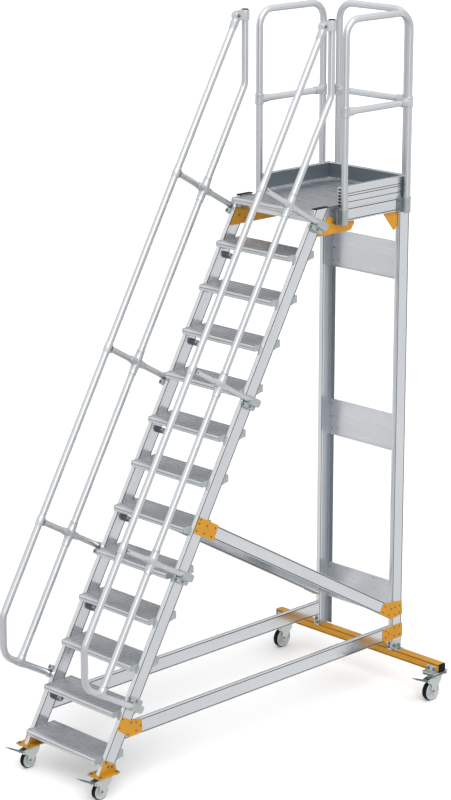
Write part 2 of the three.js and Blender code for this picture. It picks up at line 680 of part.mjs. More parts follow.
function outerHandrail(side) {
  const slopeStart = onStair(0, OUTER_RAIL_PERP);
  const kneeZ = slopeStart.z + (RAIL_FRONT_Y - slopeStart.y) / COT;
  const footArm = onStair(BOTTOM_ARM_ALONG, 0);
  const footCornerZ = footArm.z + ((footArm.y - RAIL_FRONT_Y) / Math.sin(STAIR_ANGLE)) * Math.cos(STAIR_ANGLE);
  const top = onStair(OUTER_RAIL_END, OUTER_RAIL_PERP);
  const foot = onStair(BOTTOM_ARM_ALONG, ARM_END_PERP);
  const middle = [inPlane(RAIL_FRONT_Y, kneeZ), inPlane(RAIL_FRONT_Y, footCornerZ)];
  const bends = [BEND_RADIUS, BEND_RADIUS + 15];
  const outside = bentRod(TUBE_RADIUS, [top, ...middle, foot], bends);
  const beyond = onStair(BOTTOM_ARM_ALONG, ARM_END_PERP - 10);
  const hollowTop = top.clone().addScaledVector(UP_STAIR, -90);
  const inside = bentRod(TUBE_RADIUS - TUBE_WALL, [hollowTop, ...middle, beyond], bends, HOLLOW_SIDES);
  const holder = armHolder(side, BOTTOM_ARM_ALONG, 1);
  return join(cut(join(outside, holder), inside), topConnector(top));
}

// The cast head that ties the top of the outer rail back to the inner one.
function topConnector(top) {
  const innerY = innerRailY();
  const { half, wall } = HEAD;
  const low = top.z - half;
  const high = top.z + half;
  const collar = innerY + TUBE_RADIUS + wall;
  const step = low + 22;
  const lug = [[top.y - 22, top.z - 14], [top.y - 26, low - wall], [top.y + 16, low - 24], [top.y + 24, step]];
  const head = [...lug, [collar, step], [collar, high], [top.y - wall, high]];
  const bore = rod(boreRadius(TUBE_RADIUS), inPlane(innerY, low), inPlane(innerY, high + wall));
  return cut(slab(head, -half / 2 - 3, half / 2 + 3), bore);
}

function handrailArm(side, along) {
  const front = onStair(along, OUTER_RAIL_PERP - TUBE_RADIUS - 1);
  const back = onStair(along, ARM_END_PERP);
  const crossing = onStair(along, INNER_RAIL_PERP);
  const outside = join(rod(ARM_RADIUS, back, front), armHolder(side, along, -1), sleeve(crossing, UP_STAIR));
  const reach = CROSS_SLEEVE.half + TUBE_RADIUS;
  const boreStart = onStair(along - reach, INNER_RAIL_PERP);
  const boreEnd = onStair(along + reach, INNER_RAIL_PERP);
  return cut(outside, rod(boreRadius(TUBE_RADIUS), boreStart, boreEnd));
}

// ---- Guard rails ----

// A hoop on two posts, in its own plane: a is the distance across and b the height.
function guardHoop(toPoint, acrossA, acrossB) {
  const foot = SOCKET_BOTTOM + 6;
  const top = GUARD_TOP_Z;
  const places = [[acrossA, foot], [acrossA, top], [acrossB, top], [acrossB, foot]];
  const corners = places.map((place) => toPoint(...place));
  const hollow = corners.map((corner) => corner.clone());
  hollow[0].z = SOCKET_BOTTOM - 6;
  hollow[3].z = SOCKET_BOTTOM - 6;
  const bends = [BEND_RADIUS, BEND_RADIUS];
  const sockets = [acrossA, acrossB].map((across) => rod(SOCKET_RADIUS, toPoint(across, SOCKET_BOTTOM),
    toPoint(across, SOCKET_TOP)));
  const outside = join(bentRod(TUBE_RADIUS, corners, bends), ...sockets);
  return { outside, inside: bentRod(TUBE_RADIUS - TUBE_WALL, hollow, bends, HOLLOW_SIDES) };
}

function sideGuardHoop(side) {
  const { outside, inside } = guardHoop(inPlane, GUARD_FRONT_Y, GUARD_BACK_Y);
  const face = -side * (TUBE_X - OUTER_X - GAP);
  const { thick, wide, narrow, low, high } = SOCKET_FLANGE;
  const bottom = SOCKET_BOTTOM + low;
  const top = SOCKET_TOP - high;
  const flanges = [GUARD_FRONT_Y + wide / 3, GUARD_BACK_Y].map((y) => (
    block(face, face + side * thick, y - wide, y + narrow, bottom, top)
  ));
  return cut(join(outside, ...flanges), inside);
}

function rearGuardHoop() {
  const atRear = (x, z) => new THREE.Vector3(x, GUARD_REAR_Y, z);
  const { outside, inside } = guardHoop(atRear, -GUARD_REAR_X, GUARD_REAR_X);
  const face = SIDE_RAIL_BACK + GAP;
  const { thick, wide, narrow, low, high } = SOCKET_FLANGE;
  const bottom = SOCKET_BOTTOM + low;
  const top = SOCKET_TOP - high;
  const inner = GUARD_REAR_X - wide;
  const outer = GUARD_REAR_X + narrow;
  const flanges = [-1, 1].map((side) => block(side * inner, side * outer, face, face + thick, bottom, top));
  return cut(join(outside, ...flanges), inside);
}

// The knee rail with its two cast tees, each bored to clear its post.
function kneeRail(toPoint, acrossA, acrossB) {
  const ends = [toPoint(acrossA, KNEE_Z), toPoint(acrossB, KNEE_Z)];
  const heading = ends[1].clone().sub(ends[0]).normalize();
  const tees = [];
  const bores = [];
  ends.forEach((end, i) => {
    const inward = heading.clone().multiplyScalar(i === 0 ? 1 : -1);
    const below = end.clone().addScaledVector(Z_AXIS, -TEE.half);
    const above = end.clone().addScaledVector(Z_AXIS, TEE.half);
    tees.push(rod(TEE.radius, below, above));
    tees.push(turned([[0, 0], [TEE.neck + 1.5, 0], [TEE.neck, TEE.reach], [0, TEE.reach]], end, inward));
    below.z -= TEE.half;
    above.z += TEE.half;
    bores.push(rod(boreRadius(TUBE_RADIUS), below, above));
  });
  const outside = join(rod(TUBE_RADIUS, ends[0], ends[1]), ...tees);
  return cut(outside, rod(TUBE_RADIUS - TUBE_WALL, ends[0], ends[1], HOLLOW_SIDES), ...bores);
}

// ---- Casters, each about its own swivel axis ----

function casterTop(caster) {
  return 2 * caster.wheelRadius + CASTER_HEADROOM;
}

function fork(caster) {
  const { wheelRadius, wheelWidth } = caster;
  const top = casterTop(caster) - GAP;
  const crown = top - RACE_HEIGHT;
  const halfGap = wheelWidth / 2 + 2;
  const outer = halfGap + PLATE;
  const legs = [-1, 1].map((side) => slab(forkLeg(caster, crown), side * halfGap, side * outer));
  const bridge = block(-outer, outer, -FORK_FRONT - 10, FORK_FRONT, crown - 6, crown);
  const raceProfile = [[0, crown - 1], [RACE_RADIUS, crown - 1], [RACE_RADIUS - PLATE, top], [0, top]];
  const race = turned(raceProfile, new THREE.Vector3(), Z_AXIS);
  const axle = crossPin(AXLE_RADIUS, outer + 5, -caster.trail, wheelRadius, 12);
  const pivot = pedalPivot(caster);
  return join(...legs, bridge, race, axle, crossPin(PLATE, outer + 2, pivot.y, pivot.z, 8));
}

// A fork leg in side view: wide at the crown, and a round boss at the axle.
function forkLeg({ wheelRadius, trail }, crown) {
  const boss = 17;
  const leg = new THREE.Shape();
  leg.moveTo(FORK_FRONT, crown - 6);
  leg.lineTo(FORK_FRONT - 4, crown - 30);
  leg.lineTo(boss - PLATE - trail, wheelRadius - 10);
  leg.absarc(-trail, wheelRadius, boss, -Math.PI * 0.2, -Math.PI, true);
  leg.lineTo(PLATE - boss - trail, crown - 34);
  leg.lineTo(-FORK_BACK, crown - 26);
  leg.lineTo(-FORK_BACK, crown - 6);
  leg.lineTo(-FORK_FRONT - 10, crown);
  leg.lineTo(FORK_FRONT, crown);
  leg.closePath();
  return leg;
}

function crossPin(radius, reach, y, z, sides) {
  return rod(radius, new THREE.Vector3(-reach, y, z), new THREE.Vector3(reach, y, z), sides);
}

// The wheel about its axle: tyre and disc hub as one ring whose flats lie on the rolling circle.
function wheel(caster) {
  const half = caster.wheelWidth / 2;
  const tread = caster.wheelRadius / Math.cos(Math.PI / WHEEL_SIDES);
  const rim = caster.wheelRadius - 12;
  const profile = [[7, -half + 2], [rim, -half + 2], [tread - 4, -half], [tread, -half + 6]];
  const mirrored = profile.map(([radius, distance]) => [radius, -distance]).reverse();
  return turned([...profile, ...mirrored, profile[0]], new THREE.Vector3(), X_AXIS, WHEEL_SIDES);
}

function pedalPivot(caster) {
  return inPlane(-PEDAL_PIVOT.back, casterTop(caster) - PEDAL_PIVOT.drop);
}

// The brake pedal about its own pivot: a flat plate that rises forward from a curled end.
function pedal(caster) {
  const half = caster.wheelWidth / 2 + 1;
  const tilt = THREE.MathUtils.degToRad(caster.pedalTilt);
  const direction = inPlane(-Math.cos(tilt), Math.sin(tilt));
  const up = new THREE.Vector3().crossVectors(X_AXIS, direction).negate();
  const root = direction.clone().multiplyScalar(PEDAL_CURL - PLATE);
  const plate = pushed(polygon(rectangle(2 * half, PLATE)), PEDAL_LENGTH, root, X_AXIS, up);
  const curl = crossPin(PEDAL_CURL, half, 0, 0, 12);
  return cut(join(plate, curl), crossPin(PLATE + 2 * GAP, half + 1, 0, 0, 12));
}

function addCaster(parent, name, side, caster) {
  const group = new THREE.Group();
  group.position.set(side * caster.x, caster.y, 0);
  parent.add(group);
  addPart(group, `${name}_fork`, fork(caster), 'zinc');
  const wheelMesh = addPart(group, `${name}_wheel`, wheel(caster), 'tyre');
  wheelMesh.position.set(0, -caster.trail, caster.wheelRadius);
  wheelMesh.rotation.x = Math.PI / WHEEL_SIDES;
  const pedalMesh = addPart(group, `${name}_brake_pedal`, pedal(caster), 'zinc');
  pedalMesh.position.copy(pedalPivot(caster));
}

// ---- Assembly ----

const stand = new THREE.Group();
stand.position.y = -OVERALL_DEPTH / 2;

for (let i = 1; i <= STEP_COUNT; i += 1) {
  const tread = addPart(stand, `step_${String(i).padStart(2, '0')}`, step(), 'tread');
  tread.position.set(0, noseY(i * RISE), i * RISE);
}
addPart(stand, 'platform_deck', platformDeck(), 'aluminium');
addPart(stand, 'toe_board_rear', rearToeBoard(), 'aluminium');
addPart(stand, 'guard_hoop_rear', rearGuardHoop(), 'aluminium');
const rearPlane = (x, z) => new THREE.Vector3(x, GUARD_REAR_Y, z);
addPart(stand, 'knee_rail_rear', kneeRail(rearPlane, -GUARD_REAR_X, GUARD_REAR_X), 'aluminium');
addPart(stand, 'outrigger_beam', outriggerBeam(), 'orange');
for (const [place, bottom] of Object.entries(PANEL_BOTTOMS)) {
  addPart(stand, `cross_panel_${place}`, crossPanel(bottom), 'aluminium');
}

for (const [hand, side] of [['left', -1], ['right', 1]]) {
  addPart(stand, `stile_${hand}`, stile(side), 'aluminium');
  addPart(stand, `stile_foot_${hand}`, stileFoot(side), 'orange');
  addPart(stand, `base_rail_${hand}`, baseRail(side), 'aluminium');
  addPart(stand, `brace_${hand}`, brace(side), 'aluminium');
  addPart(stand, `rear_post_${hand}`, rearPost(side), 'aluminium');
  addPart(stand, `side_rail_${hand}`, sideRail(side), 'aluminium');
  addPart(stand, `toe_board_${hand}`, sideToeBoard(side), 'aluminium');

  const railing = new THREE.Group();
  railing.position.x = side * TUBE_X;
  stand.add(railing);
  addPart(railing, `guard_hoop_${hand}`, sideGuardHoop(side), 'aluminium');
  addPart(railing, `knee_rail_${hand}`, kneeRail(inPlane, GUARD_FRONT_Y, GUARD_BACK_Y), 'aluminium');
  addPart(railing, `handrail_inner_${hand}`, innerHandrail(), 'aluminium');
  addPart(railing, `handrail_outer_${hand}`, outerHandrail(side), 'aluminium');
  for (const [place, along] of Object.entries(ARM_STATIONS)) {
    addPart(railing, `handrail_arm_${place}_${hand}`, handrailArm(side, along), 'aluminium');
  }

  addCaster(stand, `front_caster_${hand}`, side, FRONT_CASTER);
  addCaster(stand, `rear_caster_${hand}`, side, REAR_CASTER);
}

export default stand;
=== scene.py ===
"""Looks for the mobile ladder stand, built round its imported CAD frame.

Lengths are millimetres until a mesh is made: X is the width, Y runs back from the front brake pedals' tips,
Z is up from the floor. Piece.finish turns them into the frame's metres.
"""
import math

import bmesh
import bpy
from mathutils import Matrix, Quaternion, Vector
from mathutils.geometry import tessellate_polygon


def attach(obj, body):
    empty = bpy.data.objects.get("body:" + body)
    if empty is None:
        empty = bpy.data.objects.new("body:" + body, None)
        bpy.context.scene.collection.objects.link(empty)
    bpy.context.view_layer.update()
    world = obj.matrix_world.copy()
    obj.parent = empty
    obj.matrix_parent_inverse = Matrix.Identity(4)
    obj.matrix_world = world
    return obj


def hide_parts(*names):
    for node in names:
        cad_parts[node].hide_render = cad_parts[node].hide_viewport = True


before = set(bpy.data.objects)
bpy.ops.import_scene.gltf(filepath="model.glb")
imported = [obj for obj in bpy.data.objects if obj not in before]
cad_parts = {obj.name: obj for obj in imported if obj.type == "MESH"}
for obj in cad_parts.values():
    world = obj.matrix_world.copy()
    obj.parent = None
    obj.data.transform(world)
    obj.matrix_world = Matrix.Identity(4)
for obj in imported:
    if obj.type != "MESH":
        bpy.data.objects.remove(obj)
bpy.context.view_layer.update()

# ---- Driving dimensions, the same as the CAD model's ----
MM = 0.001
DEPTH = 2705.5
STAIR_ANGLE = math.radians(60)
RISE = 240
STEPS = 12
DECK_Z = RISE * (STEPS + 1)
COT = 1 / math.tan(STAIR_ANGLE)

INNER_X = 296
BAR_WIDTH = 27
BAR_DEPTH = 90
OUTER_X = INNER_X + BAR_WIDTH
WALL = 2.5
GROOVE_WIDTH = 5
GROOVE_DEPTH = 3
BAR_GROOVES = 77
RAIL_GROOVES = 62
BRACE_GROOVES = 67
BEAM_GROOVES = 40

STILE_SETBACK = 56.6
STILE_DEPTH = BAR_DEPTH / math.sin(STAIR_ANGLE)
STILE_TOP = 3125
FOOT_PLATE_TOP = 148

TREAD_DEPTH = 215
NOSE = 34
TREAD_BACK = 44
RIB_PITCH = 10
RIB_GROOVE = 3

TUBE = 20
TUBE_WALL = 2
TUBE_X = 347
BEND = 100
ARM = 17.5
INNER_PERP = 195
OUTER_PERP = 450
OUTER_TOP = 4547
ARM_END = -146
BOTTOM_ARM = 626
ARMS = {"lower": 1415, "middle": 2478, "upper": 3570}
INNER_BEND_Z = 3770
RAIL_FRONT_Y = 28
RAIL_TOP = 4208

GUARD_TOP = 4194
KNEE_Z = 3668
GUARD_FRONT = 2073
GUARD_BACK = 2617
REAR_X = 273
REAR_Y = 2680
SOCKET_LOW = 3009
SOCKET_HIGH = 3104
SOCKET_R = 23.5
FRONT_SOCKET_SHIFT = 22

RAIL_LOW = 3020
RAIL_HIGH = 3103
RAIL_FRONT = 2045
RAIL_BACK = 2654
TOE_TOP = 3227
TOE_THICK = 30
TOE_FRONT = 2074
TOE_BACK = 2656

POST_FRONT = 2577
POST_BACK = 2668
POST_FLANGE = 2.5
SOCKET_ROOM = 16
BEAM_HALF = 693
BEAM_FRONT = 2600
BEAM = 56
BEAM_LOW = 185
BEAM_HIGH = BEAM_LOW + BEAM
BASE_RAIL_LOW = 311
BRACE_LOW = 1672
BRACE = 80
PANELS = {"lower": 424, "middle": 1501, "upper": 2579}
PANEL_HEIGHT = 231
PLATE = 3
SEAT = 0.3
ROUND_TUBE = TUBE + SEAT
ROUND_ARM = ARM + SEAT

CASTERS = {
    "front": dict(x=309.5, y=194, radius=50, width=32, trail=36, tilt=27),
    "rear": dict(x=640, y=2630, radius=62.5, width=36, trail=38, tilt=20.5),
}
HEADROOM = 38
PEDAL_AHEAD = 78
PEDAL_DROP = 28

X, Y, Z = Vector((1, 0, 0)), Vector((0, 1, 0)), Vector((0, 0, 1))
UP_STAIR = Vector((0, math.cos(STAIR_ANGLE), math.sin(STAIR_ANGLE)))
OFF_STAIR = Vector((0, -math.sin(STAIR_ANGLE), math.cos(STAIR_ANGLE)))
HANDS = (("left", -1), ("right", 1))
SMOOTH_ANGLE = math.radians(35)


def nose_y(z):
    """Where the line of the nosings is at a height."""
    return z * COT


def on_stair(along, perp, x=0):
    """A point at a distance up the line of the nosings and a distance out from it."""
    return X * x + UP_STAIR * along + OFF_STAIR * perp


# ---- Materials ----

class Nodes:
    """A node tree, with short calls for the nodes used here."""

    def __init__(self, owner):
        owner.use_nodes = True
        self.tree = owner.node_tree

    def node(self, kind, links=None, **settings):
        made = self.tree.nodes.new(kind)
        for key, value in settings.items():
            setattr(made, key, value)
        for key, source in (links or {}).items():
            if isinstance(source, bpy.types.NodeSocket):
                self.tree.links.new(source, made.inputs[key])
            else:
                made.inputs[key].default_value = source
        return made

    def stops(self, source, *stops):
        """A ramp over a value, through (position, level or colour) stops."""
        made = self.node("ShaderNodeValToRGB", {"Fac": source})
        elements = made.color_ramp.elements
        while len(elements) < len(stops):
            elements.new(0.5)
        for element, (position, level) in zip(elements, stops):
            element.position = position
            element.color = (*level, 1) if isinstance(level, tuple) else (level, level, level, 1)
        return made.outputs["Color"]

    def blend(self, factor, first, second):
        """A mix of two colours or colour sockets by a factor."""
        links = {0: factor, 6: first, 7: second}
        links = {key: (*source, 1) if isinstance(source, tuple) else source for key, source in links.items()}
        return self.node("ShaderNodeMix", links, data_type="RGBA").outputs[2]


class Graph(Nodes):
    """A material's nodes, with its grain along X."""

    def __init__(self, name, colour, rough, metal, **sockets):
        self.material = bpy.data.materials.new(name)
        super().__init__(self.material)
        self.shader = self.tree.nodes["Principled BSDF"]
        self.shader.inputs["Base Color"].default_value = (*colour, 1)
        self.shader.inputs["Roughness"].default_value = rough
        self.shader.inputs["Metallic"].default_value = metal
        for key, value in sockets.items():
            self.shader.inputs[key.replace("_", " ")].default_value = value
        place = self.node("ShaderNodeTexCoord").outputs["Object"]
        self.place = self.node("ShaderNodeMapping", {"Vector": place}, name="grain").outputs["Vector"]

    def stretched(self, scale):
        """Object coordinates scaled by a factor on each axis; X is the grain of a bar."""
        return self.node("ShaderNodeMapping", {"Vector": self.place, "Scale": scale}).outputs["Vector"]

    def noise(self, scale, detail, place=None):
        links = {"Vector": place or self.place, "Scale": scale, "Detail": detail}
        return self.node("ShaderNodeTexNoise", links).outputs["Fac"]

    def ramp(self, source, low, high, start=0.3, end=0.7):
        """A value or colour that goes from low to high as the source crosses from start to end."""
        return self.stops(source, (start, low), (end, high))

    def set(self, socket, source):
        self.tree.links.new(source, self.shader.inputs[socket])

    def finish(self, colour, rough, *heights):
        """The material with colour and roughness sockets, and stacked bumps of (height socket, depth in metres)."""
        self.set("Base Color", colour)
        self.set("Roughness", rough)
        normal = None
        for height, distance in heights:
            links = {"Height": height, "Distance": distance, "Strength": 1.0}
            if normal:
                links["Normal"] = normal
            normal = self.node("ShaderNodeBump", links).outputs["Normal"]
        self.set("Normal", normal)
        return self.material


def shade(colour, factor):
    return tuple(c * factor for c in colour)


GRAINED = {}


def grained(material, grain):
    """The material with its grain along an axis. As made, its grain is along X."""
    if grain == X:
        return material
    key = (material.name, tuple(round(part, 3) for part in grain))
    if key not in GRAINED:
        side = grain.orthogonal().normalized()
        turn = Matrix((grain, side, grain.cross(side)))
        GRAINED[key] = material.copy()
        GRAINED[key].node_tree.nodes["grain"].inputs["Rotation"].default_value = turn.to_euler()
    return GRAINED[key]


def drawn_aluminium(name, colour, rough, metal=0.75, stretch=0.02, marks=1.0):
    """Extruded or drawn aluminium: fine die lines along the bar, soft cloudy tarnish and a few faint scuffs."""
    g = Graph(name, colour, rough, metal)
    lines = g.noise(90, 6, g.stretched((stretch, 6, 6)))
    cloud = g.noise(2.4, 5, g.stretched((0.5, 1.5, 1.5)))
    scuffs = g.noise(26, 8, g.stretched((0.6, 2.2, 2.2)))
    tone = g.ramp(cloud, shade(colour, 0.95), shade(colour, 1.04))
    marked = g.blend(g.ramp(scuffs, 0.0, 0.15 * marks, 0.62, 0.8), tone, shade(colour, 0.75))
    return g.finish(g.blend(g.ramp(lines, 0.0, 0.12 * marks), marked, shade(colour, 0.85)),
                    g.ramp(g.noise(14, 5, g.stretched((0.3, 3, 3))), rough - 0.05, rough + 0.08),
                    (lines, 0.00002 * marks), (g.noise(500, 3), 0.00001))


def ribbed_tread(name, colour, rough):
    """Anti-slip ribs of a tread, with cloudy dirt and fine grit. The darker copy made for the grooves is painted shade
    between the ribs.
    """
    g = Graph(name, colour, rough, 0.55)
    dirt = g.noise(5, 7, g.stretched((0.6, 1.8, 1.8)))
    grit = g.noise(900, 3)
    tone = g.ramp(dirt, shade(colour, 0.88), shade(colour, 1.12))
    return g.finish(g.blend(g.ramp(grit, 0.0, 0.15), tone, shade(colour, 0.7)), g.ramp(dirt, rough + 0.1, rough - 0.06),
                    (grit, 0.00002), (g.noise(90, 4, g.stretched((0.05, 4, 4))), 0.00003))


def cast_metal(name, colour, rough, metal=0.6):
    """Sand-cast fitting: fine pebbled skin and slightly uneven tone."""
    g = Graph(name, colour, rough, metal)
    sand = g.noise(1300, 4)
    cloud = g.noise(14, 4)
    tone = g.ramp(cloud, shade(colour, 0.88), shade(colour, 1.1))
    return g.finish(g.blend(g.ramp(sand, 0.0, 0.25), tone, shade(colour, 0.7)),
                    g.ramp(cloud, rough - 0.06, rough + 0.1), (sand, 0.0001), (cloud, 0.0002))


def zinc_plate(name, colour, rough):
    """Galvanised steel: crystal spangles of slightly different tone and gloss."""
    g = Graph(name, colour, rough, 0.85)
    spangle = g.node("ShaderNodeTexVoronoi", {"Vector": g.place, "Scale": 260.0}).outputs["Color"]
    grey = g.node("ShaderNodeRGBToBW", {"Color": spangle}).outputs["Val"]
    haze = g.noise(18, 5)
    tone = g.ramp(grey, shade(colour, 0.93), shade(colour, 1.06), 0.2, 0.8)
    return g.finish(g.blend(g.ramp(haze, 0.0, 0.2), tone, shade(colour, 0.85)),
                    g.ramp(grey, rough - 0.04, rough + 0.08, 0.2, 0.8), (haze, 0.00005), (g.noise(700, 3), 0.00003))


def powder_coat(name, colour, rough):
    """Powder coat with orange peel, faint handling marks and small chips."""
    g = Graph(name, colour, rough, 0.0, Coat_Weight=0.08, Coat_Roughness=0.3, Specular_IOR_Level=0.3)
    peel = g.noise(520, 2)
    chips = g.noise(110, 9)
    tone = g.ramp(g.noise(6, 5), shade(colour, 0.88), shade(colour, 1.08))
    return g.finish(g.blend(g.ramp(chips, 0.0, 0.7, 0.71, 0.76), tone, shade(colour, 0.45)),
                    g.ramp(g.noise(30, 5), rough - 0.08, rough + 0.12), (peel, 0.00005), (chips, 0.00004))


def rubber(name, colour, rough):
    """Tyre rubber, a little dusty."""
    g = Graph(name, colour, rough, 0.0, Specular_IOR_Level=0.15)
    dust = g.noise(45, 6)
    return g.finish(g.ramp(dust, colour, shade(colour, 2.6), 0.45, 0.8), g.ramp(dust, rough - 0.05, rough + 0.15),
                    (g.noise(1500, 3), 0.0002))


def moulded_plastic(name, colour, rough):
    """Injection-moulded plastic with a fine spark-eroded texture."""
    g = Graph(name, colour, rough, 0.0, Specular_IOR_Level=0.08)
    cloud = g.noise(25, 4)
    return g.finish(g.ramp(cloud, shade(colour, 0.85), shade(colour, 1.2)), g.ramp(cloud, rough - 0.05, rough + 0.08),
                    (g.noise(1800, 3), 0.00012))


ALU = drawn_aluminium("aluminium_bar", (0.66, 0.68, 0.7), 0.16, 0.94, marks=0.7)
TUBE_ALU = drawn_aluminium("aluminium_tube", (0.64, 0.66, 0.675), 0.32, 0.93, stretch=6, marks=0.3)
NOSE_ALU = drawn_aluminium("tread_nose", (0.62, 0.64, 0.65), 0.3, 0.9)
DECK_ALU = drawn_aluminium("deck_plank", (0.43, 0.45, 0.47), 0.28, 0.92)
SHEET = drawn_aluminium("panel_sheet", (0.66, 0.68, 0.7), 0.3, 0.85, marks=0.2)
# The toe boards' inner faces: a dark slate copy of the aluminium, painted shade inside the platform.
TOE_INSIDE_PAINTED_SHADE = drawn_aluminium("toe_board_inside_painted_shade", (0.19, 0.22, 0.25), 0.36, 0.6)
# The posts' sunk inner web: a darker copy of the aluminium, painted shade on the inner faces.
POST_WEB_PAINTED_SHADE = drawn_aluminium("post_web_painted_shade", (0.43, 0.465, 0.505), 0.36, 0.65)
# The posts' inner rear flange: the darkest copy of the aluminium, painted shade.
POST_FLANGE_PAINTED_SHADE = drawn_aluminium("post_flange_painted_shade", (0.27, 0.29, 0.315), 0.36, 0.65)
# Groove floors and walls: a near-black copy of the aluminium, painted shade in the grooves.
GROOVE_FLOOR_PAINTED_SHADE = drawn_aluminium("groove_floor_painted_shade", (0.05, 0.053, 0.06), 0.7, 0.3)
TREAD = ribbed_tread("tread_ribs", (0.41, 0.425, 0.45), 0.26)
# The grooves' darker copy of the tread colour: painted shade between the ribs and in the nose's notch.
TREAD_GROOVE_PAINTED_SHADE = ribbed_tread("tread_grooves_painted_shade", (0.24, 0.25, 0.27), 0.45)
CAST = cast_metal("cast_fitting", (0.42, 0.46, 0.455), 0.4)
# A darker copy of the greenish cast colour for the sockets' flanges and the rail-end shoes: the casting's own greenish
# tone, darkened as painted shade.
TEAL_CAST_PAINTED_SHADE = cast_metal("cast_flange_painted_shade", (0.22, 0.27, 0.28), 0.42)
JOINT = cast_metal("cast_rail_joint", (0.6, 0.62, 0.63), 0.34, 0.8)
DARK_CAST = cast_metal("dark_casting", (0.15, 0.17, 0.2), 0.4, 0.6)
ZINC = zinc_plate("zinc_plate", (0.56, 0.61, 0.6), 0.32)
DARK_ZINC = zinc_plate("pedal_steel", (0.2, 0.23, 0.25), 0.36)
BOLT = zinc_plate("bolt_zinc", (0.2, 0.22, 0.23), 0.35)
# Rivet heads under the orange coat, darkened to orange-brown as painted shade on the small domes.
RIVET_PAINTED_SHADE = zinc_plate("rivet_head_painted_shade", (0.2, 0.105, 0.03), 0.42)
ORANGE = powder_coat("orange_powder_coat", (0.52, 0.235, 0.008), 0.45)
# A dark copy of the orange for the beam's grooves: painted shade.
ORANGE_GROOVE_PAINTED_SHADE = powder_coat("orange_groove_painted_shade", (0.16, 0.065, 0.003), 0.6)
RUBBER = rubber("tyre_rubber", (0.004, 0.004, 0.0045), 0.75)
HUB = moulded_plastic("hub_grey", (0.43, 0.435, 0.44), 0.4)
BLACK = moulded_plastic("black_plastic", (0.006, 0.006, 0.007), 0.5)


# ---- Mesh building ----

